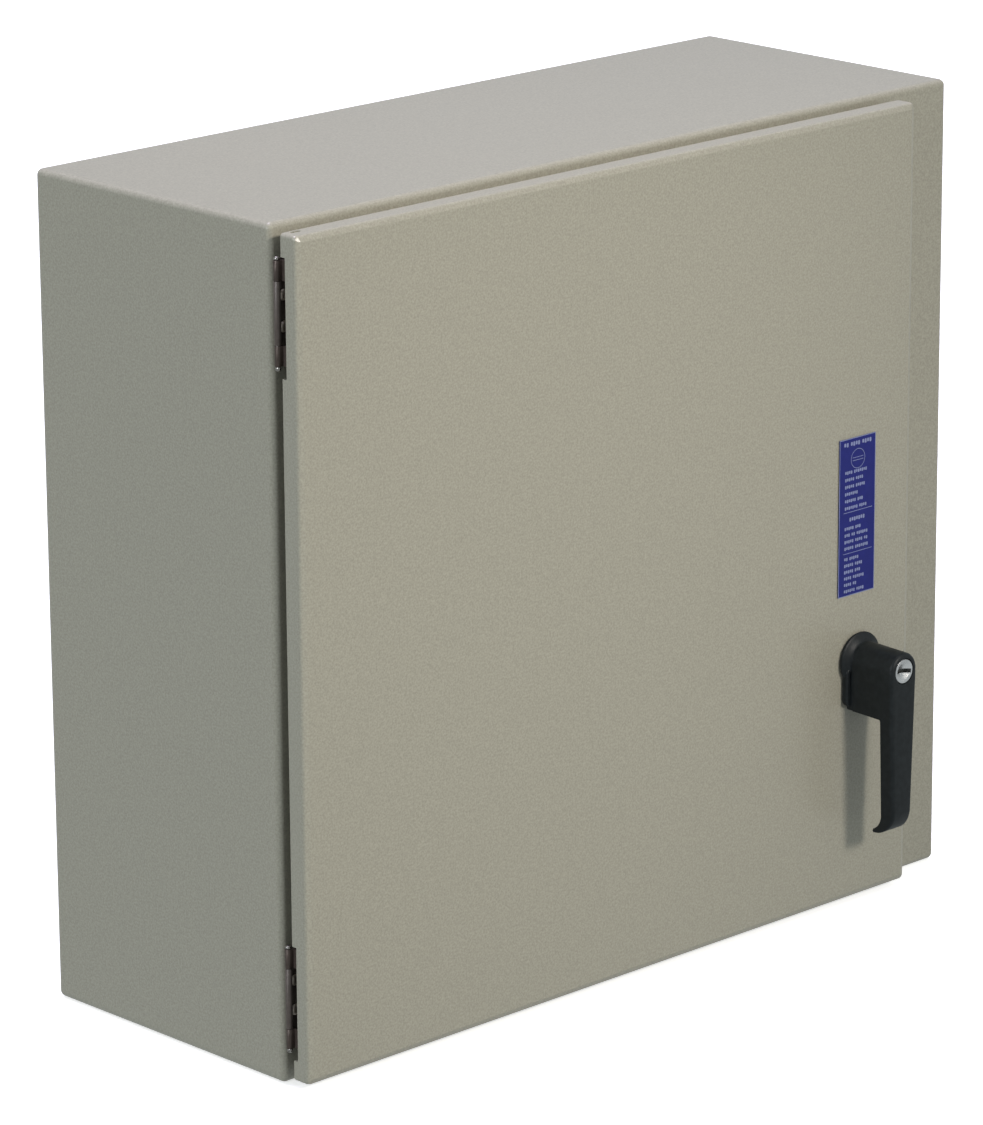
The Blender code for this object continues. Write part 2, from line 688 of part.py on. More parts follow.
def handle_base():
    """The fixed escutcheon: a flared collar, a foot under it, a stop block that is flush with the
    hub's underside, and a threaded sleeve through the door."""
    back = DOOR_FRONT - GAP - SEAL_THICKNESS - GAP
    front = back - BASE_THICKNESS
    neck = HANDLE_TOP_RADIUS + 0.0007
    sleeve_end = FRONT - 0.0080
    profile = [
        (0.0, -front),
        (neck, -front),
        (neck + 0.0006, -front - 0.0014),
        (COLLAR_RADIUS - 0.0025, -back + 0.0018),
        (COLLAR_RADIUS, -back + 0.0008),
        (COLLAR_RADIUS, -back),
        (0.0112, -back),
        (0.0112, -sleeve_end),
        (0.0, -sleeve_end),
    ]
    centre = (HANDLE_X, 0, HANDLE_Z)
    base = turned("handle_base", centre, FRONTWARD, profile, "handle_black", 32)
    under = 0.0001  # each block stands this much clear of the collar's flat faces
    blocks = [
        ("base_foot", BASE_FOOT_HALF_WIDTH, BASE_FOOT_DROP, 0.0035, BASE_FOOT_THICKNESS),
        ("stop_block", HANDLE_TOP_RADIUS - 0.0002, HUB_BOTTOM, 0.0010, BASE_THICKNESS - under),
    ]
    for name, half_width, drop, corner, thickness in blocks:
        low = (HANDLE_X - half_width, HANDLE_Z - drop)
        high = (HANDLE_X + half_width, HANDLE_Z - 0.002)
        y = back - under - (thickness - under) / 2
        outline = rounded_rectangle(low, high, corner)
        join(base, plate(name, [outline], (0, y, 0), Y_AXIS, thickness - under))
        under *= 2
    return cut(base, bolt_hole("base_bore", HANDLE_X, HANDLE_Z, front, FRONT, 0.0079, 24))


def handle_seal():
    outline = keyhole_outline(
        COLLAR_RADIUS - 0.0006, BASE_FOOT_HALF_WIDTH - 0.0006, BASE_FOOT_DROP - 0.0006, 0.0025
    )
    y = DOOR_FRONT - GAP - SEAL_THICKNESS / 2
    seal = plate("handle_seal", [outline], (0, y, 0), Y_AXIS, SEAL_THICKNESS, "rubber")
    hole = bolt_hole("seal_hole", HANDLE_X, HANDLE_Z, DOOR_FRONT, DOOR_FRONT - 0.002, 0.0116, 24)
    return cut(seal, hole)


def handle_lever():
    """The hub and lever, as the space shared by the side outline and the front outline."""
    back = DOOR_FRONT - 2 * GAP - SEAL_THICKNESS - BASE_THICKNESS - GAP
    front = DOOR_FRONT - HANDLE_REACH
    z = HANDLE_Z
    inner = front + 0.0100  # the lever's face towards the door
    low = z - HANDLE_LENGTH
    side_outline = [
        (back, z + HANDLE_TOP_RADIUS + 0.001),
        (back, z - HUB_BOTTOM),
        (inner - 0.0005, z - HUB_BOTTOM - 0.0010),
    ]
    side_outline += arc((inner + 0.0110, low + 0.0140), 0.0107, 180, 246, 6)
    side_outline += [(inner + 0.0071, low + 0.0022)]
    side_outline += arc((front + 0.0110, low + 0.0105), 0.0105, 292, 185, 8)
    side_outline += [(front, z - 0.060), (front, z + HANDLE_TOP_RADIUS + 0.001)]
    lever = plate(
        "handle_lever", [side_outline], (HANDLE_X, 0, 0), X_AXIS, 0.030, "handle_black"
    )
    front_outline = arc((0, 0), HANDLE_TOP_RADIUS, 0, 180, 16)
    front_outline += arc(
        (-HANDLE_TIP_HALF_WIDTH + 0.003, -HANDLE_LENGTH + 0.002), 0.003, 180, 270, 4
    )
    front_outline += arc(
        (HANDLE_TIP_HALF_WIDTH - 0.003, -HANDLE_LENGTH + 0.002), 0.003, 270, 360, 4
    )
    front_outline = [(HANDLE_X + x, z + up) for x, up in front_outline]
    keyhole = plate(
        "lever_front_outline",
        [front_outline],
        (0, (front + back) / 2, 0),
        Y_AXIS,
        abs(back - front) + 0.010,
    )
    combine(lever, keyhole, "INTERSECT")
    screw_floor = front + 0.0068
    socket_floor = back - 0.0102
    return cut(
        lever,
        bolt_hole("screw_pocket", HANDLE_X, z, front, screw_floor - 0.001, 0.0082, 32),
        bolt_hole("spindle_bore", HANDLE_X, z, front, back, SPINDLE_RADIUS + 0.0004, 16),
        bolt_hole(
            "shaft_socket", HANDLE_X, z, socket_floor + 0.001, back, SHAFT_RADIUS + GAP, 24
        ),
    )


def handle_shaft():
    """A hollow shaft: round in the sleeve, square in the cam and threaded for its nut."""
    start = DOOR_FRONT - 2 * GAP - SEAL_THICKNESS - BASE_THICKNESS - 0.0097
    bore = SPINDLE_RADIUS + 0.0004
    round_end, square_end, thread_end = FRONT + 0.0015, CAM_BACK + GAP, FRONT + 0.0145
    profile = [
        (0.0, -start),
        (SHAFT_RADIUS, -start),
        (SHAFT_RADIUS, -round_end),
        (SHAFT_THREAD_RADIUS, -round_end),
        (SHAFT_THREAD_RADIUS, -thread_end),
        (0.0, -thread_end),
    ]
    shaft = turned("handle_shaft", (HANDLE_X, 0, HANDLE_Z), FRONTWARD, profile, "zinc", 24)
    half = SHAFT_SQUARE / 2
    square = box(
        "shaft_square",
        (HANDLE_X - half, round_end - 0.001, HANDLE_Z - half),
        (HANDLE_X + half, square_end, HANDLE_Z + half),
    )
    join(shaft, square)
    return cut(shaft, bolt_hole("shaft_bore", HANDLE_X, HANDLE_Z, start, thread_end, bore, 16))


def latch_cam():
    """The plate on the shaft: two crank pins for the rods and the pawl for the middle keeper."""
    middle = (CAM_FRONT + CAM_BACK) / 2
    thickness = CAM_BACK - CAM_FRONT
    cam = cylinder(
        "latch_cam", (HANDLE_X, middle, HANDLE_Z), Y_AXIS, 0.0130, thickness, "zinc", 28
    )
    step = 0.0001  # each piece of the plate is this much thinner per side than the last
    half = thickness / 2 - step
    arm = box("cam_arm", (-CRANK_RADIUS, -half, -0.0055), (CRANK_RADIUS, half, 0.0055))
    arm.matrix_world = Matrix.Translation((HANDLE_X, middle, HANDLE_Z)) @ Matrix.Rotation(
        math.radians(-45), 4, "Y"
    )
    pawl = box(
        "cam_pawl",
        (HANDLE_X, CAM_FRONT + 3 * step, HANDLE_Z - 0.0065),
        (HANDLE_X + PAWL_REACH, CAM_BACK - 3 * step, HANDLE_Z + 0.0065),
    )
    join(cam, arm, pawl)
    for end in (-1, 1):
        x, z = HANDLE_X + end * CRANK_RISE, HANDLE_Z + end * CRANK_RISE
        pin_end = ROD_BACK + 0.0010
        join(
            cam,
            cylinder("arm_end", (x, middle, z), Y_AXIS, 0.006, thickness - 4 * step, sides=20),
            cylinder(
                "crank_pin",
                (x, (middle + pin_end) / 2, z),
                Y_AXIS,
                CRANK_PIN_RADIUS,
                pin_end - middle,
                sides=16,
            ),
        )
    half = SHAFT_SQUARE / 2 + GAP
    hole = box(
        "cam_square_hole",
        (HANDLE_X - half, CAM_FRONT - 0.001, HANDLE_Z - half),
        (HANDLE_X + half, CAM_BACK + 0.001, HANDLE_Z + half),
    )
    return cut(cam, hole)


def defeater_spindle():
    """The slotted screw in the hub, with the spindle that runs through the hollow shaft."""
    face = DOOR_FRONT - HANDLE_REACH + 0.0003
    under = face + 0.0060
    end = FRONT + 0.0205
    profile = [
        (0.0, -face),
        (DEFEATER_SCREW_RADIUS - 0.0006, -face),
        (DEFEATER_SCREW_RADIUS, -face - 0.0006),
        (DEFEATER_SCREW_RADIUS, -under),
        (SPINDLE_RADIUS, -under),
        (SPINDLE_RADIUS, -end),
        (0.0, -end),
    ]
    centre = (HANDLE_X, 0, HANDLE_Z)
    spindle = turned("defeater_screw", centre, FRONTWARD, profile, "bright_steel", 28)
    slot = box(
        "screw_slot",
        (HANDLE_X - 0.010, face - 0.001, HANDLE_Z - 0.0012),
        (HANDLE_X + 0.010, face + 0.0030, HANDLE_Z + 0.0012),
    )
    return cut(spindle, slot)


def defeater_lever():
    """The arm behind the door that trips the switch operator's interlock."""
    length, half = 0.0300, 0.0050
    outline = arc((0, 0), half + 0.0015, 180, 360, 8)
    outline += arc((0, length - half), half, 0, 180, 8)
    outline = [(HANDLE_X + x, HANDLE_Z + z) for x, z in outline]
    y0, y1 = FRONT + 0.0165, FRONT + 0.0195
    lever = plate("defeater_lever", [outline], (0, (y0 + y1) / 2, 0), Y_AXIS, y1 - y0, "zinc")
    bore = bolt_hole("lever_bore", HANDLE_X, HANDLE_Z, y0, y1, SPINDLE_RADIUS + GAP, 16)
    return cut(lever, bore)


def latch_rod(label):
    """A flat bar with a slotted head on the crank pin and an ear that carries the roller."""
    side = 1 if label == "upper" else -1
    x = ROD_X[label]
    head_z = HANDLE_Z + side * CRANK_RISE
    roller_z = ROLLER_Z[label]
    bar_end = roller_z - side * (ROLLER_RADIUS + 0.0010)
    z0, z1 = sorted((head_z, bar_end))
    rod = box(
        f"{label}_latch_rod",
        (x - ROD_WIDTH / 2, ROD_FRONT, z0),
        (x + ROD_WIDTH / 2, ROD_BACK, z1),
        "zinc",
    )
    head_half = 0.0078
    head_height = CRANK_PIN_RADIUS + CRANK_SLACK + 0.0032
    head = box(
        "rod_head",
        (x - head_half, ROD_FRONT, head_z - head_height),
        (x + head_half, ROD_BACK, head_z + head_height),
    )
    ear_z = sorted((roller_z + side * 0.0040, roller_z - side * 0.0140))
    ear = box(
        "rod_ear",
        (x - ROD_WIDTH / 2, ROD_FRONT - 0.0045, ear_z[0]),
        (x - ROD_WIDTH / 2 + 0.0030, ROD_BACK + 0.0045, ear_z[1]),
    )
    roller_left = x - ROD_WIDTH / 2 + 0.0030 + GAP
    pin_end = roller_left + ROLLER_WIDTH + GAP
    pin = cylinder(
        "roller_pin",
        ((x - ROD_WIDTH / 2 + 0.001 + pin_end) / 2, ROLLER_Y, roller_z),
        X_AXIS,
        0.0025,
        pin_end - (x - ROD_WIDTH / 2 + 0.001),
        sides=16,
    )
    pin_head = cylinder(
        "roller_pin_head", (pin_end + 0.0004, ROLLER_Y, roller_z), X_AXIS, 0.0040, 0.0010, sides=16
    )
    join(rod, head, ear, pin, pin_head)
    reach = CRANK_PIN_RADIUS + 0.0004
    slot_x = sorted(
        (HANDLE_X + side * (CRANK_RISE - reach), HANDLE_X + side * (CRANK_RADIUS + reach))
    )
    slot_half = CRANK_PIN_RADIUS + CRANK_SLACK
    slot = box(
        "rod_slot",
        (slot_x[0], ROD_FRONT - 0.001, head_z - slot_half),
        (slot_x[1], ROD_BACK + 0.001, head_z + slot_half),
    )
    return cut(rod, slot)


def latch_roller(label):
    x = ROD_X[label] - ROD_WIDTH / 2 + 0.0030 + GAP
    profile = [
        (0.0029, ROLLER_WIDTH),
        (ROLLER_RADIUS - 0.0008, ROLLER_WIDTH),
        (ROLLER_RADIUS, ROLLER_WIDTH - 0.0008),
        (ROLLER_RADIUS, 0.0008),
        (ROLLER_RADIUS - 0.0008, 0.0),
        (0.0027, 0.0),
    ]
    return turned(
        f"{label}_latch_roller", (x, ROLLER_Y, ROLLER_Z[label]), X_AXIS, profile, "nylon", 24
    )


# ---------------------------------------------------------------- switch
def switch_base():
    """The moulded base with its side walls and the barriers between the poles."""
    base = box(
        "switch_base",
        (SWITCH_X - SWITCH_HALF_WIDTH, SWITCH_FLOOR, -SWITCH_HALF_HEIGHT),
        (SWITCH_X + SWITCH_HALF_WIDTH, SWITCH_BACK, SWITCH_HALF_HEIGHT),
        "phenolic",
    )
    half = 0.0015
    walls = [-SWITCH_HALF_WIDTH + half, -POLE_PITCH / 2, POLE_PITCH / 2, SWITCH_HALF_WIDTH - half]
    for offset in walls:
        x = SWITCH_X + offset
        wall = box(
            "barrier",
            (x - half, BARRIER_EDGE, -SWITCH_HALF_HEIGHT),
            (x + half, SWITCH_FLOOR + 0.002, SWITCH_HALF_HEIGHT),
        )
        join(base, wall)
    side = SWITCH_X + SWITCH_HALF_WIDTH
    for name, radius, end in (("lever_spacer", 0.0060, 0.0020), ("lever_stub", 0.0030, 0.0080)):
        centre = (side - 0.001 + end / 2, PIVOT_Y, PIVOT_Z)
        join(base, cylinder(name, centre, X_AXIS, radius, end + 0.002, sides=20))
    return base


def standing(name, x, half_width, height, z0, z1, finish=None):
    """A block that stands on the base's face, height tall."""
    low = (x - half_width, TERMINAL_BACK - height, z0)
    return box(name, low, (x + half_width, TERMINAL_BACK, z1), finish)


def wire_hole(x, z):
    return cylinder("wire_hole", (x, TERMINAL_BACK - 0.0125, z), Z_AXIS, 0.0065, 0.04, sides=20)


def leaves(x, inner, thickness, front, z0, z1):
    """A pair of contact leaves, whose inner faces are that far either side of x."""
    pair = []
    for side in (-1, 1):
        x0, x1 = sorted((x + side * inner, x + side * (inner + thickness)))
        pair.append(box("leaf", (x0, front, z0), (x1, TERMINAL_BACK - 0.001, z1)))
    return pair


def jaw(x, front, z0, z1):
    """A block with two leaves that a blade lies between."""
    low, high = (x - 0.0039, TERMINAL_BACK - 0.0110, z0), (x + 0.0039, TERMINAL_BACK - 0.001, z1)
    return [box("jaw_block", low, high)] + leaves(x, JAW_HALF_GAP, 0.002, front, z0, z1)


def fuse_clip(x, z0, z1):
    """A spring clip for a fuse's ferrule: a foot and two leaves."""
    foot = standing("clip_foot", x, 0.0121, STRAP, z0, z1)
    return [foot] + leaves(x, FUSE_RADIUS + GAP, 0.0015, PIVOT_Y - 0.005, z0, z1)


def line_terminal(i, x):
    body = standing(f"line_terminal_{i}", x, 0.008, STRAP, 0.084, 0.1395, "copper")
    join(body, *jaw(x, -0.0660, 0.0845, 0.1035))
    join(body, standing("line_lug", x, 0.011, LUG_HEIGHT, 0.116, 0.140))
    return cut(body, wire_hole(x, 0.128))


def hinge_terminal(i, x):
    body = standing(f"hinge_terminal_{i}", x, 0.008, STRAP, -0.0295, 0.0180, "copper")
    join(body, *jaw(x, -0.0640, 0.0025, 0.0175))
    join(body, cylinder("pivot_pin", (x, PIVOT_Y, PIVOT_Z), X_AXIS, 0.0025, 0.011, sides=16))
    return join(body, *fuse_clip(x, FUSE_TOP - FERRULE_LENGTH, FUSE_TOP))


def load_terminal(i, x):
    clip_bottom = FUSE_TOP - FUSE_LENGTH
    clip_top = clip_bottom + FERRULE_LENGTH
    name = f"load_terminal_{i}"
    body = standing(name, x, 0.008, STRAP, -0.1395, clip_top - 0.0005, "copper")
    join(body, *fuse_clip(x, clip_bottom, clip_top))
    join(body, standing("load_lug", x, 0.011, LUG_HEIGHT, -0.140, -0.116))
    return cut(body, wire_hole(x, -0.128))


def fuse(i, x):
    """A cartridge fuse: two ferrules on a slimmer tube."""
    neck, tube = FERRULE_LENGTH, FUSE_RADIUS - 0.0005
    profile = [
        (0.0, FUSE_LENGTH),
        (FUSE_RADIUS, FUSE_LENGTH),
        (FUSE_RADIUS, FUSE_LENGTH - neck),
        (tube, FUSE_LENGTH - neck),
        (tube, neck),
        (FUSE_RADIUS, neck),
        (FUSE_RADIUS, 0.0),
        (0.0, 0.0),
    ]
    y = TERMINAL_BACK - STRAP - GAP - FUSE_RADIUS
    return turned(f"fuse_{i}", (x, y, FUSE_TOP - FUSE_LENGTH), Z_AXIS, profile, "fuse_body", 24)


def blade(i, x):
    half = BLADE_THICKNESS / 2
    low, high = (x - half, PIVOT_Y - 0.007, 0.0040), (x + half, PIVOT_Y + 0.007, 0.1020)
    bore = cylinder("blade_bore", (x, PIVOT_Y, PIVOT_Z), X_AXIS, 0.0029, 0.01, sides=16)
    return cut(box(f"blade_{i}", low, high, "copper"), bore)


def crossbar():
    """The insulating bar that ties the three blades together."""
    bar = box(
        "crossbar",
        (POLES[0] - 0.012, CROSSBAR_FRONT, CROSSBAR_BOTTOM),
        (SWITCH_X + SWITCH_HALF_WIDTH + 0.002, CROSSBAR_BACK, CROSSBAR_TOP),
        "phenolic",
    )
    for x in POLES:
        finger = box(
            "blade_finger",
            (x - 0.006, CROSSBAR_BACK - 0.002, CROSSBAR_BOTTOM + 0.002),
            (x + 0.006, PIVOT_Y - 0.007 - GAP, CROSSBAR_TOP - 0.002),
        )
        join(bar, finger)
    return bar


def switch_lever():
    """The lever on the crossbar's right end, pivoted in line with the blades."""
    x0 = SWITCH_X + SWITCH_HALF_WIDTH + 0.002 + GAP
    x1 = x0 + 0.004
    grip_y, grip_z = PIVOT_Y - 0.068, CROSSBAR_TOP - 0.008
    arm = box(
        "switch_lever",
        (x0, grip_y, CROSSBAR_BOTTOM),
        (x1, PIVOT_Y + 0.008, CROSSBAR_TOP),
        "lever_red",
    )
    half, middle = 0.008, ((x0 + x1) / 2, PIVOT_Y, PIVOT_Z)
    upright_low = (x0, PIVOT_Y - half, PIVOT_Z)
    upright_high = (x1, PIVOT_Y + half, CROSSBAR_TOP - 0.001)
    join(
        arm,
        box("lever_upright", upright_low, upright_high),
        cylinder("lever_boss", middle, X_AXIS, half, x1 - x0),
        cylinder("lever_grip", (x0 + 0.019, grip_y, grip_z), X_AXIS, 0.0090, 0.038),
    )
    return cut(arm, cylinder("lever_bore", middle, X_AXIS, 0.0034, 0.02, sides=20))


def line_shield():
    """The clear guard over the live line terminals, resting on the barriers."""
    y1 = BARRIER_EDGE - GAP
    return box(
        "line_shield",
        (SWITCH_X - SWITCH_HALF_WIDTH, y1 - 0.002, 0.108),
        (SWITCH_X + SWITCH_HALF_WIDTH, y1, SWITCH_HALF_HEIGHT),
        "shield",
    )


# ---------------------------------------------------------------- assembly
def pivot(name, location, pieces, parent=None):
    """An empty on a joint's axis that carries the pieces which move with it."""
    empty = bpy.data.objects.new(name, None)
    empty.location = location
    PARTS.objects.link(empty)
    bpy.context.view_layer.update()
    for piece in pieces:
        piece.parent = empty
        piece.matrix_parent_inverse = empty.matrix_world.inverted()
    if parent:
        empty.parent = parent
        empty.matrix_parent_inverse = parent.matrix_world.inverted()
    return empty


def build():
    cabinet_shell()
    keepers()
    back_panel()
    ground_bar()
    door_pieces = [door_shell(), door_gasket(), instruction_label()]
    door_pieces += [rod_guide("upper"), rod_guide("lower"), handle_base(), handle_seal()]
    nut_y = DOOR_INSIDE + GAP + 0.0025
    door_pieces.append(
        hex_nut("base_nut", (HANDLE_X, nut_y, HANDLE_Z), 0.0320, 0.0116, 0.0050, "zinc")
    )
    for label in HINGE_HEIGHTS:
        _, door_leaf, _ = hinge(label)
        door_pieces.append(door_leaf)
    for label, number, x, z in hinge_screw_places():
        hinge_screw(f"{label}_hinge_screw_{number}", x, z)
    door_axis = pivot("door_axis", (HINGE_X, HINGE_Y, 0), door_pieces)

    shaft_nut_y = CAM_BACK + 2 * GAP + 0.0025
    shaft_nut = hex_nut(
        "shaft_nut",
        (HANDLE_X, shaft_nut_y, HANDLE_Z),
        0.0130,
        SHAFT_THREAD_RADIUS + GAP,
        0.0050,
        "zinc",
        math.radians(30),
    )
    handle_at = (HANDLE_X, DOOR_FRONT, HANDLE_Z)
    turning = [handle_lever(), handle_shaft(), latch_cam(), shaft_nut]
    handle_axis = pivot("handle_axis", handle_at, turning, door_axis)
    defeater = [defeater_spindle(), defeater_lever()]
    pivot("defeater_axis", handle_at, defeater, handle_axis)
    for label in ("upper", "lower"):
        at = (ROD_X[label], ROLLER_Y, ROLLER_Z[label])
        rod_empty = pivot(f"{label}_rod_travel", at, [latch_rod(label)], door_axis)
        pivot(f"{label}_roller_axis", at, [latch_roller(label)], rod_empty)

    switch_base()
    line_shield()
    rotor = [crossbar(), switch_lever()]
    for i, x in enumerate(POLES, 1):
        line_terminal(i, x)
        hinge_terminal(i, x)
        load_terminal(i, x)
        fuse(i, x)
        rotor.append(blade(i, x))
    pivot("switch_axis", (SWITCH_X, PIVOT_Y, PIVOT_Z), rotor)


build()
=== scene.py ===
"""Looks for the AC disconnect enclosure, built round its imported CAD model.

Frame: metres, +Z up, the door faces -Y, and the origin is the middle of the cabinet's back.
"""

import json
import math

import bmesh
import bpy
from mathutils import Matrix, Vector

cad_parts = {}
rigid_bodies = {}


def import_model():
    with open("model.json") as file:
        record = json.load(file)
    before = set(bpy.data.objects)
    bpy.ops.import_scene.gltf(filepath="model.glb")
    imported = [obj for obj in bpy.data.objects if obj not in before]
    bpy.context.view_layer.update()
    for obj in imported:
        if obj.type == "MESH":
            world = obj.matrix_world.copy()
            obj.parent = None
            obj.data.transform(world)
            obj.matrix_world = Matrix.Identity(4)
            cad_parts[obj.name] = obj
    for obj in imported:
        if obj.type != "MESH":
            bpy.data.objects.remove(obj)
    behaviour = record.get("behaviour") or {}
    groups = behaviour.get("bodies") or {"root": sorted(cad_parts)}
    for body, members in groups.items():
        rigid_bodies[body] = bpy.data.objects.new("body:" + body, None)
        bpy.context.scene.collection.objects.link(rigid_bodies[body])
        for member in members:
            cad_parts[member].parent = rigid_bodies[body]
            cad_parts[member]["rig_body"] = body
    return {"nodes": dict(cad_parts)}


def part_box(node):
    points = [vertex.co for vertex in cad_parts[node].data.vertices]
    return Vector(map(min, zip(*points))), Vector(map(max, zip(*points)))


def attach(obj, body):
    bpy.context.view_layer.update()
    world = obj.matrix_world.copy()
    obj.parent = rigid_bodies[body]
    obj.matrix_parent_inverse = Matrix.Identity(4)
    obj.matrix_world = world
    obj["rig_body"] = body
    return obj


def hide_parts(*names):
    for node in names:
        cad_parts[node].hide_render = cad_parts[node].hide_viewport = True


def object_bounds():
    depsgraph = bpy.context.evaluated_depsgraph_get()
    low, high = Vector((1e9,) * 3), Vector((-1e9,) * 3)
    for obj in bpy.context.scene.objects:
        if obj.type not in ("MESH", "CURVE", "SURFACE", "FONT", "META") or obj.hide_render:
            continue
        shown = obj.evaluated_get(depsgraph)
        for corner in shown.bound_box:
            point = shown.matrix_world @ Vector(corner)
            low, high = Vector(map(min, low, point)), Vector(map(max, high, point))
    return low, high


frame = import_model()
CAD_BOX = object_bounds()

# ---------------------------------------------------------------- sizes
SHEET = 0.0019
BEND_RADIUS = 0.0040
LIP_HEIGHT = 0.0119
LIP_INSET = 0.0160
HINGE_NOTCH = 0.0034  # cut out of the door's return beside each hinge
NOTCH_ENDS = (-0.0370, 0.0325)  # about the hinge's middle
GROUND_OFF = 0.0027  # from the sharp corner of the door to its ground flat
FRONT_BEND = 0.55  # of the door's corner edges, as a share of BEND_RADIUS
LIP_CORNER = 0.0035
WALL_HOLE_INSET, WALL_HOLE_RADIUS = 0.0254, 0.0056
GASKET_WIDTH, GASKET_CORNER = 0.0110, 0.012
HANDLE_HOLE_RADIUS = 0.0116
PROUD = 0.00005  # print stands this far off its surface
GAP = 0.0003  # between pieces that touch
HUB_BOTTOM = 0.0305  # below the handle's axis
FOOT_HALF_WIDTH, FOOT_DROP, FOOT_HEIGHT = 0.0148, 0.0277, 0.0032
LEVER_THICKNESS, LEVER_TIP, LEVER_DRAFT = 0.0100, 0.0078, 0.08
SLOT_TURN = 7  # degrees, of the slot in the hub's screw
STUD_RADIUS, THREAD_ROOT, THREAD_PITCH = 0.0030, 0.0026, 0.00125
LUG_RISE = 0.0230  # of the lugs above the back of their terminals
SWITCH_BASE_THICKNESS = 0.0180
FERRULE_LENGTH = 0.0141  # faces nearer a fuse's end than this are metal

KEY_FROM, KEY_AIM = Vector((0.21, -2.83, 1.43)), Vector((-0.14, -0.22, 0.08))
CAMERA_AT = (-2.30747, -2.49945, 0.95761)
CAMERA_RIGHT = Vector((0.72144, -0.69245, -0.00603))
CAMERA_FORWARD = Vector((0.66318, 0.69340, -0.28176))
LENS = 182.1  # millimetres, on a sensor of 36
SEEN_BACKGROUND = 1.12  # the world's strength where the camera sees it

CABINET_LOW, CABINET_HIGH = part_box("cabinet_shell")
DOOR_LOW, DOOR_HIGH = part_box("door_shell")
LABEL_LOW, LABEL_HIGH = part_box("instruction_label")
LEVER_LOW, LEVER_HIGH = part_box("handle_lever")
BASE_LOW, BASE_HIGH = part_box("handle_base")
SCREW_LOW, SCREW_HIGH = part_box("defeater_screw")
FACE = CABINET_LOW.y + LIP_HEIGHT  # the plane of the cabinet's face
DOOR_FACE = DOOR_LOW.y
AXIS = (SCREW_LOW + SCREW_HIGH) / 2  # on the handle's axis
SCREW_RADIUS = (SCREW_HIGH.x - SCREW_LOW.x) / 2
HINGE_BOXES = [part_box(f"{side}_hinge_cabinet_leaf") for side in ("upper", "lower")]
HINGES = [(low + high) / 2 for low, high in HINGE_BOXES]

# ---------------------------------------------------------------- materials
class Finish:
    """A Principled material whose colour, roughness and bump come from noise in metres."""

    def __init__(self, name, colour, roughness, metallic=0.0, **sockets):
        self.material = bpy.data.materials.new(name)
        self.material.use_nodes = True
        self.nodes = self.material.node_tree.nodes
        self.links = self.material.node_tree.links
        self.shader = self.nodes["Principled BSDF"]
        self.shader.inputs["Base Color"].default_value = (*colour, 1)
        self.shader.inputs["Roughness"].default_value = roughness
        self.shader.inputs["Metallic"].default_value = metallic
        for socket, value in sockets.items():
            self.shader.inputs[socket.replace("_", " ")].default_value = value
        self.colour, self.roughness = colour, roughness
        self.place = self.nodes.new("ShaderNodeTexCoord").outputs["Object"]
        self.normal = None

    def add(self, kind, links=(), **values):
        node = self.nodes.new(kind)
        for key, value in values.items():
            setattr(node, key, value)
        for socket, source in links:
            if isinstance(source, bpy.types.NodeSocket):
                self.links.new(source, node.inputs[socket])
            else:
                node.inputs[socket].default_value = source
        return node

    def noise(self, size, detail=2.0, stretch=(1, 1, 1)):
        """Noise whose blobs are about size across, stretched along the axes given."""
        scale = [1 / (size * s) for s in stretch]
        spread = self.add("ShaderNodeVectorMath", [(0, self.place), (1, scale)], operation="MULTIPLY")
        links = [("Vector", spread.outputs[0]), ("Scale", 1.0), ("Detail", detail)]
        return self.add("ShaderNodeTexNoise", links).outputs[0]

    def tint(self, factor, other, low=0.35, high=0.65):
        """Goes from the base colour to other as factor rises from low to high."""
        ramp = self.add("ShaderNodeValToRGB", [(0, factor)])
        first, last = ramp.color_ramp.elements
        first.position, last.position = low, high
        first.color, last.color = (*self.colour, 1), (*other, 1)
        self.links.new(ramp.outputs[0], self.shader.inputs["Base Color"])
        return self

    def gloss(self, factor, spread):
        """Lets the roughness wander by spread either way."""
        links = [(0, factor), (1, 0.3), (2, 0.7), (3, self.roughness - spread), (4, self.roughness + spread)]
        wander = self.add("ShaderNodeMapRange", links)
        self.links.new(wander.outputs[0], self.shader.inputs["Roughness"])
        return self

    def bump(self, height, depth, strength=1.0):
        links = [("Height", height), ("Distance", depth), ("Strength", strength)]
        node = self.add("ShaderNodeBump", links)
        if self.normal:
            self.links.new(self.normal, node.inputs["Normal"])
        self.normal = node.outputs[0]
        self.links.new(self.normal, self.shader.inputs["Normal"])
        return self


def shade(colour, factor):
    return tuple(min(1.0, c * factor) for c in colour)


def powder_coat(name, colour):
    """Textured powder coat: orange peel, a fine speckle and slow drifts of tone."""
    finish = Finish(name, colour, 0.30, Specular_IOR_Level=0.45)
    finish.tint(finish.noise(0.0012, 3), shade(colour, 1.36), 0.30, 0.70)
    finish.gloss(finish.noise(0.09, 1), 0.012)
    return finish.bump(finish.noise(0.0014, 2), 0.00009, 0.5).bump(finish.noise(0.006), 0.00010, 0.3)


def plated(name, colour, roughness=0.30, stretch=(1, 1, 1), grain=0.0012):
    """Plated or bare metal with a drawn grain and slow stains."""
    finish = Finish(name, colour, roughness, 1.0)
    finish.tint(finish.noise(0.011, 4), shade(colour, 0.72), 0.40, 0.68)
    finish.gloss(finish.noise(grain, 2, stretch), 0.09)
    return finish.bump(finish.noise(grain, 2, stretch), 0.00003, 0.5)


def moulded(name, colour, roughness, speck=1.25, pit=0.0007, depth=0.00005, **sockets):
    """A cast, moulded or enamelled surface with a fine stipple."""
    finish = Finish(name, colour, roughness, **sockets)
    finish.tint(finish.noise(0.004, 4), shade(colour, speck), 0.38, 0.70)
    finish.gloss(finish.noise(0.012, 3), 0.06)
    return finish.bump(finish.noise(pit, 2), depth, 0.6)


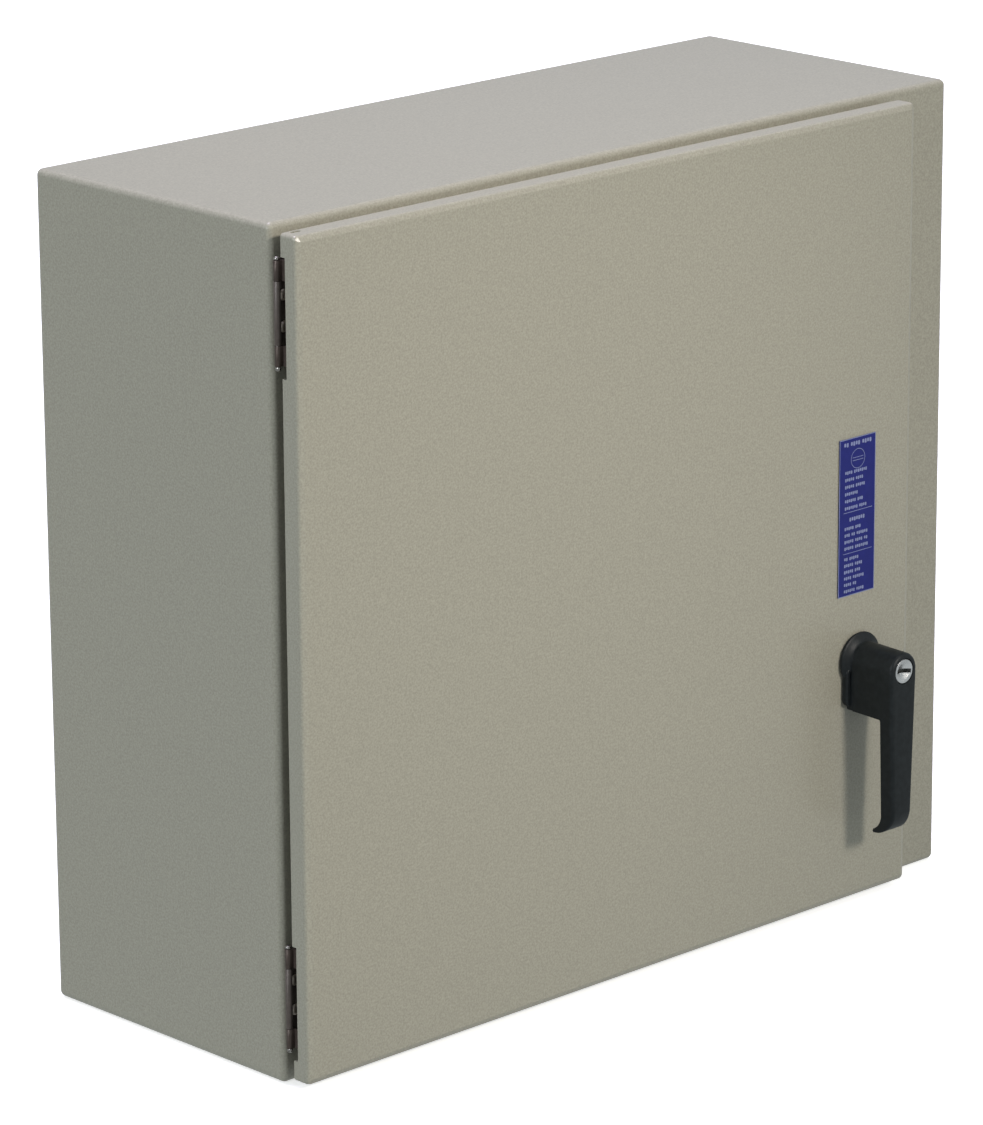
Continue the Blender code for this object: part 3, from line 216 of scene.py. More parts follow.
PAINT = (0.290, 0.277, 0.222)
FINISHES = {
    "paint": powder_coat("putty_powder_coat", PAINT),
    "zinc": plated("zinc_plate", (0.60, 0.60, 0.56), 0.34),
    "hinge": moulded("oiled_hinge_steel", (0.085, 0.064, 0.053), 0.40, 1.3, 0.0012, 0.00003, Metallic=0.5),
    "pin": plated("bright_hinge_pin", (0.50, 0.47, 0.43), 0.24, (1, 1, 8)),
    # painted shade: darker metal for the faces inside the hub screw's slot
    "slot": plated("slot_painted_shade", (0.16, 0.165, 0.16), 0.45),
    # zinc tinted warm beige: a painted reflection of the paint round the hinge screws
    "screw": plated("zinc_screw_painted_warm_reflection", (0.88, 0.78, 0.67), 0.42),
    # the hinge's oiled steel made lighter and less metallic: painted fill light for the leaves in the shaded
    # gap
    "leaf": moulded("oiled_hinge_leaf_painted_fill", (0.100, 0.080, 0.069), 0.40, 1.3, 0.0012, 0.00003, Metallic=0.2),
    "chrome": plated("bright_nickel", (0.80, 0.80, 0.79), 0.30),
    "black": moulded(
        "satin_black_casting", (0.0098, 0.0122, 0.0132), 0.46, 1.5, 0.0008, 0.00006, Specular_IOR_Level=0.22
    ),
    "rubber": moulded("black_rubber", (0.016, 0.016, 0.017), 0.75, 1.5),
    "foam": moulded("closed_cell_foam", (0.022, 0.022, 0.023), 0.92, 2.0, 0.0009, 0.0004),
    "blue": moulded(
        "blue_label_film", (0.014, 0.018, 0.150), 0.40, 1.12, 0.0012, 0.00001, Specular_IOR_Level=0.2
    ),
    "ink": moulded("pale_label_ink", (0.22, 0.25, 0.41), 0.50, 1.1, Specular_IOR_Level=0.2),
    "enamel": moulded("white_panel_enamel", (0.72, 0.72, 0.69), 0.30, 1.05, 0.0020, 0.00006),
    "phenolic": moulded("black_phenolic", (0.020, 0.020, 0.022), 0.46, 1.7, 0.0006, 0.00004),
    "tinned": plated("tinned_copper", (0.66, 0.60, 0.54), 0.30, (1, 1, 6)),
    "copper": plated("copper_blade", (0.72, 0.40, 0.27), 0.26, (1, 1, 10)),
    "aluminium": plated("extruded_aluminium", (0.70, 0.71, 0.72), 0.34, (14, 1, 1)),
    "tube": moulded("fuse_fibre_tube", (0.36, 0.22, 0.085), 0.52, 1.35, 0.0016, 0.00005),
    "ferrule": plated("brass_ferrule", (0.66, 0.52, 0.30), 0.28, (1, 1, 6)),
    "nylon": moulded("white_nylon", (0.62, 0.61, 0.55), 0.42, 1.08, Subsurface_Weight=0.1),
    "red": moulded("red_lever_enamel", (0.36, 0.018, 0.012), 0.34, 1.15),
    "clear": moulded("clear_polycarbonate", (0.90, 0.94, 0.96), 0.08, 1.02, Transmission_Weight=0.92),
}

# ---------------------------------------------------------------- mesh helpers
def object_from(work, name):
    """Makes an object of a bmesh, and frees the bmesh."""
    mesh = bpy.data.meshes.new(name)
    work.to_mesh(mesh)
    work.free()
    obj = bpy.data.objects.new(name, mesh)
    bpy.context.scene.collection.objects.link(obj)
    return obj


def baked(obj):
    """Turns obj's modifiers into its mesh."""
    bpy.context.view_layer.update()
    graph = bpy.context.evaluated_depsgraph_get()
    mesh = bpy.data.meshes.new_from_object(obj.evaluated_get(graph), depsgraph=graph)
    obj.modifiers.clear()
    obj.data = mesh
    return obj


def combined(obj, tools, operation="DIFFERENCE"):
    """Cuts, joins or intersects obj with the tools, and removes them."""
    for tool in tools:
        boolean = obj.modifiers.new("Boolean", "BOOLEAN")
        boolean.operation, boolean.object, boolean.solver = operation, tool, "EXACT"
    baked(obj)
    for tool in tools:
        bpy.data.objects.remove(tool, do_unlink=True)
    return obj


def block(low, high, name="block"):
    work = bmesh.new()
    bmesh.ops.create_cube(work, size=1)
    low, high = Vector(low), Vector(high)
    bmesh.ops.scale(work, vec=high - low, verts=work.verts)
    bmesh.ops.translate(work, vec=(low + high) / 2, verts=work.verts)
    return object_from(work, name)


def prism(outline, place, depth, name="prism"):
    """An outline of (across, up) points, raised by depth. place takes them to the frame."""
    work = bmesh.new()
    face = work.faces.new([work.verts.new(place @ Vector((x, y, 0))) for x, y in outline])
    raised = bmesh.ops.extrude_face_region(work, geom=[face])["geom"]
    move = place.to_3x3() @ Vector((0, 0, depth))
    bmesh.ops.translate(work, vec=move, verts=[v for v in raised if isinstance(v, bmesh.types.BMVert)])
    bmesh.ops.recalc_face_normals(work, faces=work.faces)
    return object_from(work, name)


def front_plane(x, y, z):
    """Outlines drawn here lie in X and Z, and are raised towards the viewer."""
    return Matrix(((1, 0, 0, x), (0, 0, -1, y), (0, 1, 0, z), (0, 0, 0, 1)))


def side_plane(x):
    """Outlines drawn here are (y, z), and are raised towards +X."""
    return Matrix(((0, 0, 1, x), (1, 0, 0, 0), (0, 1, 0, 0), (0, 0, 0, 1)))


def lathe(profile, centre, name="lathe", steps=64):
    """A shape turned about Y. The profile is (radius, distance in front of centre)."""
    work = bmesh.new()
    points = [work.verts.new(Vector((r, -forward, 0))) for r, forward in profile]
    edges = [work.edges.new(pair) for pair in zip(points, points[1:])]
    bmesh.ops.spin(
        work, geom=points + edges, axis=(0, 1, 0), cent=(0, 0, 0), steps=steps, angle=math.tau,
        use_duplicate=False,
    )
    bmesh.ops.remove_doubles(work, verts=work.verts, dist=1e-6)
    bmesh.ops.recalc_face_normals(work, faces=work.faces)
    bmesh.ops.translate(work, vec=centre, verts=work.verts)
    return object_from(work, name)


def arc(centre, radius, start, end, steps):
    """Points along an arc, its start and end in degrees."""
    turns = [math.radians(start + (end - start) * i / steps) for i in range(steps + 1)]
    return [(centre[0] + radius * math.cos(t), centre[1] + radius * math.sin(t)) for t in turns]


def rounded(low, high, radius, steps=6):
    """The outline of a rectangle with round corners."""
    (x0, y0), (x1, y1) = low, high
    points = arc((x1 - radius, y1 - radius), radius, 0, 90, steps)
    points += arc((x0 + radius, y1 - radius), radius, 90, 180, steps)
    points += arc((x0 + radius, y0 + radius), radius, 180, 270, steps)
    return points + arc((x1 - radius, y0 + radius), radius, 270, 360, steps)


def cylinder_cut(x, z, y0, y1, radius):
    """A round cutter along Y."""
    depth = abs(y1 - y0)
    return lathe([(0, 0), (radius, 0), (radius, depth), (0, depth)], (x, max(y0, y1), z), "cutter", 40)


def smooth(obj, edge=0.0, segments=3, angle=30):
    """Rounds obj's sharp edges by edge, and shades it smooth between those that stay sharp."""
    obj.data.shade_smooth()
    if edge:
        bevel = obj.modifiers.new("Edges", "BEVEL")
        bevel.width, bevel.segments, bevel.harden_normals = edge, segments, True
        bevel.limit_method, bevel.angle_limit = "ANGLE", math.radians(angle)
    else:
        obj.data.set_sharp_from_angle(angle=math.radians(angle))
        obj.modifiers.new("Flat faces", "WEIGHTED_NORMAL").keep_sharp = True
    return baked(obj)


def piece(obj, name, finish, body, replaces=()):
    """Gives obj its name, finish and body, and hides the CAD nodes that it stands for."""
    obj.name = obj.data.name = name
    obj.data.materials.clear()
    for key in [finish] if isinstance(finish, str) else finish:
        obj.data.materials.append(FINISHES[key].material)
    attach(obj, body)
    if replaces:
        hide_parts(*replaces)
    return obj


def refined(node, finish, edge=0.0004, segments=2):
    """The CAD node's own shape with its edges broken and its curves shaded smooth."""
    source = frame["nodes"][node]
    work = bmesh.new()
    work.from_mesh(source.data)
    bmesh.ops.remove_doubles(work, verts=work.verts, dist=1e-6)
    bmesh.ops.dissolve_limit(work, angle_limit=math.radians(0.5), verts=work.verts, edges=work.edges)
    obj = smooth(object_from(work, node + "_look"), edge, segments)
    return piece(obj, node + "_look", finish, source["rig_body"], [node])


# ---------------------------------------------------------------- cabinet and door
def bent(work, name):
    """A sheet with smooth bends where the edges are weighted, thickened inwards."""
    obj = object_from(work, name)
    bends = obj.modifiers.new("Bends", "BEVEL")
    bends.limit_method, bends.width, bends.segments = "WEIGHT", BEND_RADIUS, 8
    wall = obj.modifiers.new("Sheet", "SOLIDIFY")
    wall.thickness, wall.offset = SHEET, -1
    wall.use_even_offset, wall.use_quality_normals = True, True
    return baked(obj)


def rounded_block(low, high, radius):
    """A block with all its edges rounded."""
    obj = block(low, high)
    edges = obj.modifiers.new("Bends", "BEVEL")
    edges.limit_method, edges.width, edges.segments = "NONE", radius, 8
    return baked(obj)


def cube_work(low, high):
    """A box as a bmesh, and the layer that says how far each of its edges is bent."""
    work = bmesh.new()
    weight = work.edges.layers.float.new("bevel_weight_edge")
    bmesh.ops.create_cube(work, size=1)
    bmesh.ops.scale(work, vec=high - low, verts=work.verts)
    bmesh.ops.translate(work, vec=(low + high) / 2, verts=work.verts)
    return work, weight


def make_cabinet():
    """A bent shell with a lip turned forward round its opening and four holes in its back."""
    wall = Vector((SHEET, SHEET, SHEET))
    low, high = Vector((CABINET_LOW.x, FACE, CABINET_LOW.z)), CABINET_HIGH
    shell = rounded_block(low, high, BEND_RADIUS)
    inside = rounded_block(low + wall, high - wall, BEND_RADIUS - SHEET)
    combined(shell, [inside])
    rings = []
    for step in (0, SHEET):
        edge = LIP_INSET + step
        outline = rounded(
            (DOOR_LOW.x + edge, DOOR_LOW.z + edge),
            (DOOR_HIGH.x - edge, DOOR_HIGH.z - edge),
            LIP_CORNER - step,
        )
        deep = 0.0010 + 2 * step
        ring = prism(outline, front_plane(0, FACE + deep, 0), LIP_HEIGHT + deep + step)
        rings.append(ring)
    combined(shell, rings[:1], "UNION")
    across, up = high.x - WALL_HOLE_INSET, high.z - WALL_HOLE_INSET
    holes = [
        cylinder_cut(sx * across, sz * up, 0.001, -0.004, WALL_HOLE_RADIUS)
        for sx in (-1, 1)
        for sz in (-1, 1)
    ]
    combined(shell, rings[1:] + holes)
    piece(smooth(shell), "cabinet", "paint", "cabinet", ["cabinet_shell"])


def make_studs():
    """The back panel's weld studs, with their collars and turned threads."""
    panel_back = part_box("back_panel")[1].y
    for i in range(1, 5):
        low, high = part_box(f"panel_nut_{i}")
        middle = (low + high) / 2
        profile = [(0, 0.0246), (0.0024, 0.0246), (STUD_RADIUS, 0.0240)]
        crest = 0.0239
        while crest > 0.0145:
            profile += [(STUD_RADIUS, crest), (THREAD_ROOT, crest - THREAD_PITCH / 2)]
            crest -= THREAD_PITCH
        shoulder = -panel_back - GAP
        profile += [(STUD_RADIUS, crest), (STUD_RADIUS, shoulder)]
        profile += [(0.0056, shoulder), (0.0060, shoulder - 0.0004)]
        profile += [(0.0060, SHEET), (0, SHEET)]
        stud = smooth(lathe(profile, (middle.x, 0, middle.z), "stud", 32))
        piece(stud, f"panel_stud_{i}", "zinc", "cabinet")


def grind_corners(door):
    """Flattens the welded corners of the door a little, as a grinder leaves them."""
    for sx in (-1, 1):
        for sz in (-1, 1):
            corner = Vector((
                DOOR_LOW.x if sx < 0 else DOOR_HIGH.x,
                DOOR_FACE,
                DOOR_LOW.z if sz < 0 else DOOR_HIGH.z,
            ))
            across = Vector((sx * 0.27, -0.90, sz * 0.35)).normalized()
            for vert in door.data.vertices:
                beyond = (vert.co - corner).dot(across) + GROUND_OFF
                if beyond > 0 and (vert.co - corner).length < 0.02:
                    vert.co -= across * beyond


def make_door():
    """A bent pan with ground corners, a hole for the handle, and notches for its hinges."""
    work, weight = cube_work(DOOR_LOW, DOOR_HIGH)
    back = next(f for f in work.faces if f.normal.y > 0.9)
    for edge in work.edges:
        ends = [vert.co.y > DOOR_FACE + 0.001 for vert in edge.verts]
        edge[weight] = (1.0, FRONT_BEND, 0.0)[sum(ends)]
    bmesh.ops.delete(work, geom=[back], context="FACES_ONLY")
    door = bent(work, "door")
    grind_corners(door)
    cutters = [cylinder_cut(AXIS.x, AXIS.z, DOOR_FACE - 0.001, DOOR_FACE + 0.004, HANDLE_HOLE_RADIUS)]
    for hinge in HINGES:
        low = (DOOR_LOW.x - 0.001, DOOR_HIGH.y - HINGE_NOTCH, hinge.z + NOTCH_ENDS[0])
        high = (DOOR_LOW.x + SHEET + 0.0002, DOOR_HIGH.y + 0.001, hinge.z + NOTCH_ENDS[1])
        cutters.append(block(low, high))
    for z in (DOOR_LOW.z, DOOR_HIGH.z):  # slots to hang the door by while it is coated
        low = (DOOR_LOW.x + 0.0050, DOOR_HIGH.y - 0.0044)
        high = (DOOR_LOW.x + 0.0120, DOOR_HIGH.y - 0.0018)
        cutters.append(prism(rounded(low, high, 0.0012), Matrix.Translation((0, 0, z - 0.004)), 0.008))
    combined(door, cutters)
    piece(smooth(door), "door", "paint", "door", ["door_shell"])


def make_gasket():
    """Poured foam gasket with a crowned top."""
    low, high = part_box("door_gasket")
    width, depth = GASKET_WIDTH, high.y - low.y
    section = [(0, 0), (width, 0), (width * 0.97, depth * 0.7), (width * 0.8, depth), (width * 0.2, depth)]
    section += [(width * 0.03, depth * 0.7)]
    work = bmesh.new()
    rings = []
    for across, up in section:
        inner_low, inner_high = (low.x + across, low.z + across), (high.x - across, high.z - across)
        outline = rounded(inner_low, inner_high, GASKET_CORNER - across)
        rings.append([work.verts.new((x, low.y + up, z)) for x, z in outline])
    for ring, following in zip(rings, rings[1:] + rings[:1]):
        for i in range(len(ring)):
            j = (i + 1) % len(ring)
            work.faces.new((ring[i], ring[j], following[j], following[i]))
    bmesh.ops.recalc_face_normals(work, faces=work.faces)
    gasket = smooth(object_from(work, "gasket"), angle=50)
    piece(gasket, "gasket", "foam", "door", ["door_gasket"])


# ---------------------------------------------------------------- label
LABEL_TEXT = [  # top row, spacing of rows, capital height, letters in each word of each row
    (0.038, 0.0, 0.0027, [(2, 4, 4)]),
    (0.215, 0.045, 0.0021, [(4, 7), (5, 4), (5, 5), (7,), (6, 3), (7, 4)]),
    (0.515, 0.0, 0.0025, [(7,)]),
    (0.570, 0.042, 0.0021, [(5, 3), (3, 2, 6), (5, 4, 2), (5, 7)]),
    (0.764, 0.041, 0.0021, [(2, 5), (5, 4), (5, 3), (4, 6), (4, 2), (6, 4)]),
]


def make_label():
    """Blue film printed with plain bars for text, a slotted circle and a pale border."""
    film = prism(
        rounded((LABEL_LOW.x, LABEL_LOW.z), (LABEL_HIGH.x, LABEL_HIGH.z), 0.0005),
        front_plane(0, LABEL_HIGH.y, 0),
        LABEL_HIGH.y - LABEL_LOW.y,
    )
    piece(smooth(film), "label_film", "blue", "door", ["instruction_label"])
    width, height = LABEL_HIGH.x - LABEL_LOW.x, LABEL_HIGH.z - LABEL_LOW.z
    print_front = LABEL_LOW.y - PROUD
    work = bmesh.new()

    def bar(x0, x1, z0, z1):
        outline = rounded((x0, z0), (x1, z1), min(z1 - z0, x1 - x0) * 0.3, 2)
        work.faces.new([work.verts.new((x, print_front, z)) for x, z in outline])

    for down, pitch, size, rows in LABEL_TEXT:
        letter, space = size * 0.80, size * 0.60
        for row, words in enumerate(rows):
            length = sum(words) * letter + (len(words) - 1) * space
            x = LABEL_LOW.x + width * 0.155
            if len(rows) == 1:
                x = LABEL_LOW.x + (width - length) / 2
            z = LABEL_HIGH.z - (down + pitch * row) * height
            for word in words:
                for i in range(word):
                    drop = size * (0.35 + 0.15 * ((i * 3 + word) % 2))
                    bar(x + letter * 0.12, x + letter * 0.88, z - drop, z + size / 2)
                    x += letter
                x += space
    for down in (0.467, 0.728):
        z = LABEL_HIGH.z - down * height
        bar(LABEL_LOW.x + width * 0.13, LABEL_LOW.x + width * 0.92, z - 0.00018, z + 0.00018)
    edge = 0.0005
    for x in (LABEL_LOW.x, LABEL_HIGH.x - edge):
        bar(x, x + edge, LABEL_LOW.z, LABEL_HIGH.z)
    for z in (LABEL_LOW.z, LABEL_HIGH.z - edge):
        bar(LABEL_LOW.x + edge, LABEL_HIGH.x - edge, z, z + edge)
    ring_x, ring_z = LABEL_LOW.x + width * 0.51, LABEL_HIGH.z - 0.137 * height
    radius, line = 0.0063, 0.00035
    rim = arc((ring_x, ring_z), radius, 0, 360, 48)
    hole = arc((ring_x, ring_z), radius - line, 0, 360, 48)
    for a, b, c, d in zip(rim, rim[1:], hole[1:], hole):
        work.faces.new([work.verts.new((x, print_front, z)) for x, z in (a, b, c, d)])
    for offset in (-0.0009, 0.0009):
        half = radius * 0.76
        bar(ring_x - half, ring_x + half, ring_z + offset - line / 2, ring_z + offset + line / 2)
    for face in work.faces:
        face.normal_update()
        if face.normal.y > 0:
            face.normal_flip()
    piece(object_from(work, "label_print"), "label_print", "ink", "door")


# ---------------------------------------------------------------- handle
def soften(obj, width, weigh, segments=6):
    """Rounds obj's sharp edges by width times what weigh says of each edge's middle."""
    work = bmesh.new()
    work.from_mesh(obj.data)
    weight = work.edges.layers.float.new("bevel_weight_edge")
    for edge in work.edges:
        if edge.calc_face_angle(0) > math.radians(35):
            edge[weight] = weigh((edge.verts[0].co + edge.verts[1].co) / 2)
    work.to_mesh(obj.data)
    work.free()
    bevel = obj.modifiers.new("Soft edges", "BEVEL")
    bevel.limit_method, bevel.width, bevel.segments = "WEIGHT", width, segments
    bevel.use_clamp_overlap = False
    return baked(obj)


def make_lever():
    """The hub and lever: the space shared by a side outline and a front outline, with soft edges."""
    back, front = LEVER_HIGH.y, LEVER_LOW.y
    top, low = LEVER_HIGH.z, LEVER_LOW.z
    inner = front + LEVER_THICKNESS
    side = [(back, top + 0.004), (back, AXIS.z - HUB_BOTTOM)]
    side += arc((inner + 0.0012, AXIS.z - HUB_BOTTOM - 0.0020), 0.0012, 90, 180, 4)
    side += arc((inner + 0.0110, low + 0.0122), 0.0108, 180, 246, 10)
    side += [(inner + 0.0072, low + 0.0009)]
    side += arc((front + 0.0160, low + 0.0160), 0.0160, 272, 184, 16)
    side += [(front, AXIS.z - 0.060), (front, top + 0.004)]
    lever = prism(side, side_plane(AXIS.x - 0.018), 0.036)
    end = low - AXIS.z - 0.001
    outline = arc((0, 0), top - AXIS.z, -2, 182, 40) + [(-LEVER_TIP, end), (LEVER_TIP, end)]
    front_cut = prism(outline, front_plane(AXIS.x, back + 0.001, AXIS.z), back - front + 0.003)
    for vert in front_cut.data.vertices:  # the casting's draft
        if vert.co.y > back:
            vert.co.x += (vert.co.x - AXIS.x) * LEVER_DRAFT
            vert.co.z += (vert.co.z - AXIS.z) * LEVER_DRAFT
    combined(lever, [front_cut], "INTERSECT")
    soften(lever, 0.0026, lambda middle: max(0.0, 1 - (middle.y - front) / 0.0095))
    pocket = cylinder_cut(AXIS.x, AXIS.z, front - 0.001, front + 0.0075, 0.0082)
    bore = cylinder_cut(AXIS.x, AXIS.z, front, back + 0.001, 0.0034)
    socket = cylinder_cut(AXIS.x, AXIS.z, back - 0.0102, back + 0.001, 0.0078)
    combined(lever, [pocket, bore, socket])
    smooth(lever, 0.0004, 2, 40)
    piece(lever, "handle_grip", "black", "handle", ["handle_lever"])


def make_handle_base():
    """Flared collar with a foot and the stop block under it."""
    back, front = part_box("handle_seal")[0].y - GAP, BASE_LOW.y
    height = back - front
    neck, rim = LEVER_HIGH.z - AXIS.z + 0.0004, BASE_HIGH.x - AXIS.x
    flare = [
        (neck + (rim - 0.0004 - neck) * t ** 1.6, height - (height - 0.0012) * t)
        for t in [i / 10 for i in range(11)]
    ]
    profile = [(0, height)] + flare + [(rim, 0.0008), (rim, 0), (0.0112, 0)]
    profile += [(0.0112, back - BASE_HIGH.y), (0, back - BASE_HIGH.y)]
    base = lathe(profile, (AXIS.x, back, AXIS.z), "base", 72)
    blocks = [  # half width, drop, corner, height, edge
        (FOOT_HALF_WIDTH, FOOT_DROP, 0.0035, FOOT_HEIGHT, 0.0014),
        (neck - 0.0006, HUB_BOTTOM, 0.0010, height - 0.0001, 0.0005),
    ]
    for half, drop, corner, rise, edge in blocks:
        outline = rounded((-half, -drop), (half, -0.003), corner)
        foot = prism(outline, front_plane(AXIS.x, back - 0.0001, AXIS.z), rise)
        soften(foot, edge, lambda middle: float(middle.y < back - rise / 2), 4)
        combined(base, [foot], "UNION")
    combined(base, [cylinder_cut(AXIS.x, AXIS.z, front - 0.001, BASE_HIGH.y + 0.001, 0.0079)])
    piece(smooth(base, angle=32), "handle_collar", "black", "door", ["handle_base"])


def make_screw():
    """The bright screw in the hub: a rim, a dished face and a slot darkened as painted shade."""
    face, end, r = SCREW_LOW.y, SCREW_HIGH.y, SCREW_RADIUS
    profile = [(0, -0.0028), (0.0055, -0.0004), (0.0061, 0)]
    profile += [(r - 0.0004, 0), (r, -0.0004), (r, -0.0060), (0.0030, -0.0060)]
    profile += [(0.0030, face - end + 0.0005), (0.0026, face - end), (0, face - end)]
    screw = lathe(profile, (AXIS.x, face, AXIS.z), "screw", 72)
    half, reach = 0.0013, 0.0062
    slot = block((-reach, face - 0.001, -half), (reach, face + 0.0046, half))
    tilt = Matrix.Translation((AXIS.x, 0, AXIS.z)) @ Matrix.Rotation(math.radians(SLOT_TURN), 4, "Y")
    slot.data.transform(tilt)
    combined(screw, [slot])
    smooth(screw, angle=35)
    look = ["chrome", "slot"]
    piece(screw, "defeater_screw_look", look, "defeater", ["defeater_screw"])
    # the slot's floor and walls take the darker finish, as painted shade inside the slot
    for part in screw.data.polygons:
        along = tilt.inverted() @ part.center
        if abs(along.z) < half + 1e-5 and along.x ** 2 < reach ** 2 and part.center.y > face + 0.0001:
            part.material_index = int(abs(part.normal.y) > 0.99 or abs(part.normal.z) > 0.9)


def domed_screw(node, finish, recess=0.0007):
    """A round-headed screw with a cross recess, in place of the CAD one."""
    low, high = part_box(node)
    middle = (low + high) / 2
    radius = (high.x - low.x) / 2
    head, length = 0.0021, high.y - low.y
    turns = [math.pi / 2 * i / 10 for i in range(10)]
    profile = [(radius * math.sin(t), head * math.cos(t)) for t in turns]
    profile += [(radius, 0.0003), (radius, 0), (0.0016, 0), (0.0016, head - length), (0, head - length)]
    screw = lathe(profile, (middle.x, low.y + head, middle.z), "screw", 40)
    bars = [
        block(
            (middle.x - a, low.y - 0.001, middle.z - b),
            (middle.x + a, low.y + recess, middle.z + b),
        )
        for a, b in ((0.0014, 0.0003), (0.0003, 0.0014))
    ]
    combined(screw, bars)
    source = frame["nodes"][node]
    piece(smooth(screw, angle=35), node + "_look", finish, source["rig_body"], [node])


# ---------------------------------------------------------------- inside
def make_fuses():
    """Fibre tubes with metal ferrules: one shape, its faces given two finishes by height."""
    for i in range(1, 4):
        low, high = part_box(f"fuse_{i}")
        look = refined(f"fuse_{i}", ["ferrule", "tube"], 0.0006, 2)
        for face in look.data.polygons:
            ends = min(face.center.z - low.z, high.z - face.center.z)
            face.material_index = 0 if ends < FERRULE_LENGTH else 1


def heads(name, places, radius, height, recess, finish):
    """Screw heads that face the door, in one piece, each with a slot or hexagon."""
    work = bmesh.new()
    for x, y, z in places:
        profile = [(0, height), (radius * 0.82, height), (radius, height * 0.6), (radius, 0), (0, 0)]
        head = lathe(profile, (x, y, z), "head", 36)
        if recess == "hexagon":
            socket = front_plane(x, y - height * 0.2, z)
            cutter = prism(arc((0, 0), radius * 0.55, 0, 300, 5), socket, height)
        else:
            low, half = (x - radius, y - height - 0.001, z), Vector((0, 0, radius * 0.12))
            cutter = block(Vector(low) - half, Vector((x + radius, y - height * 0.4, z)) + half)
        combined(head, [cutter])
        work.from_mesh(head.data)
        bpy.data.objects.remove(head, do_unlink=True)
    piece(smooth(object_from(work, name)), name, finish, "cabinet")


def make_switch_screws():
    """The screws of the lugs, of the switch's base and of the ground bar."""
    lugs = []
    lug_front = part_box("load_terminal_1")[1].y - LUG_RISE
    for i in range(1, 4):
        for kind, end in (("line", 1), ("load", -1)):
            low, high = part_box(f"{kind}_terminal_{i}")
            z = high.z - 0.012 if end > 0 else low.z + 0.012
            lugs.append(((low.x + high.x) / 2, lug_front - 0.0002, z))
    heads("lug_screws", lugs, 0.0052, 0.0022, "hexagon", "zinc")
    low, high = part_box("switch_base")
    floor = high.y - SWITCH_BASE_THICKNESS - 0.0002
    corners = [((low.x + high.x) / 2 + sx * 0.0720, floor, sz * 0.1400) for sx in (-1, 1) for sz in (-1, 1)]
    heads("base_screws", corners, 0.0045, 0.0026, "slot", "zinc")
    low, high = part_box("ground_bar")
    middle = (low + high) / 2
    bar = [(middle.x + (i - 2.5) * 0.0140, low.y - 0.0002, middle.z) for i in range(6)]
    heads("ground_screws", bar, 0.0038, 0.0020, "slot", "zinc")


REFINED = {  # finish of each CAD node whose own shape is kept, and how far its edges are broken
    "zinc": (
        "upper_keeper lower_keeper centre_keeper panel_nut_1 panel_nut_2 panel_nut_3 panel_nut_4 "
        "upper_rod_guide lower_rod_guide base_nut shaft_nut handle_shaft latch_cam defeater_lever "
        "upper_latch_rod lower_latch_rod",
        0.0004,
    ),
    "hinge": ("upper_hinge_door_leaf lower_hinge_door_leaf", 0.0002),
    # the cabinet's hinge leaves take the lighter copy, as painted fill light in the gap
    "leaf": ("upper_hinge_cabinet_leaf lower_hinge_cabinet_leaf", 0.0002),
    "pin": ("upper_hinge_pin lower_hinge_pin", 0.0002),
    "rubber": ("handle_seal", 0.0002),
    "enamel": ("back_panel", 0.0007),
    "phenolic": ("switch_base crossbar", 0.0006),
    "red": ("switch_lever", 0.0010),
    "clear": ("line_shield", 0.0005),
    "tinned": (
        "line_terminal_1 line_terminal_2 line_terminal_3 hinge_terminal_1 hinge_terminal_2 hinge_terminal_3 "
        "load_terminal_1 load_terminal_2 load_terminal_3",
        0.0003,
    ),
    "copper": ("blade_1 blade_2 blade_3", 0.0004),
    "aluminium": ("ground_bar", 0.0004),
    "nylon": ("upper_latch_roller lower_latch_roller", 0.0004),
}


def make_object():
    make_cabinet()
    make_studs()
    make_door()
    make_gasket()
    make_label()
    make_lever()
    make_handle_base()
    make_screw()
    for side in ("upper", "lower"):
        for i in (1, 2):
            domed_screw(f"{side}_hinge_screw_{i}", "screw")
    for finish, (names, edge) in REFINED.items():
        for node in names.split():
            refined(node, finish, edge)
    make_fuses()
    make_switch_screws()


# ---------------------------------------------------------------- stage, light and camera
def make_stage():
    corners = [(-15, -15), (15, -15), (15, 15), (-15, 15)]
    floor = prism(corners, Matrix.Translation((0, 0, CAD_BOX[0].z - 0.02)), 0.0195)
    floor.name = "floor"
    floor.visible_diffuse = floor.visible_glossy = False
    pale = Finish("pale_floor", (0.90, 0.90, 0.90), 0.85, Emission_Strength=0.6)
    pale.shader.inputs["Emission Color"].default_value = (1, 1, 1, 1)
    pale.tint(pale.noise(0.4), (0.92, 0.92, 0.92))
    floor.data.materials.append(pale.material)


def lamp(name, kind, strength, colour, towards):
    data = bpy.data.lights.new(name, kind)
    data.energy, data.color = strength, colour
    obj = bpy.data.objects.new(name, data)
    obj.rotation_mode = "QUATERNION"
    obj.rotation_quaternion = Vector(towards).to_track_quat("-Z", "Y")
    bpy.context.scene.collection.objects.link(obj)
    return obj


def sun(name, towards, strength, angle, colour):
    lamp(name, "SUN", strength, colour, towards).data.angle = math.radians(angle)


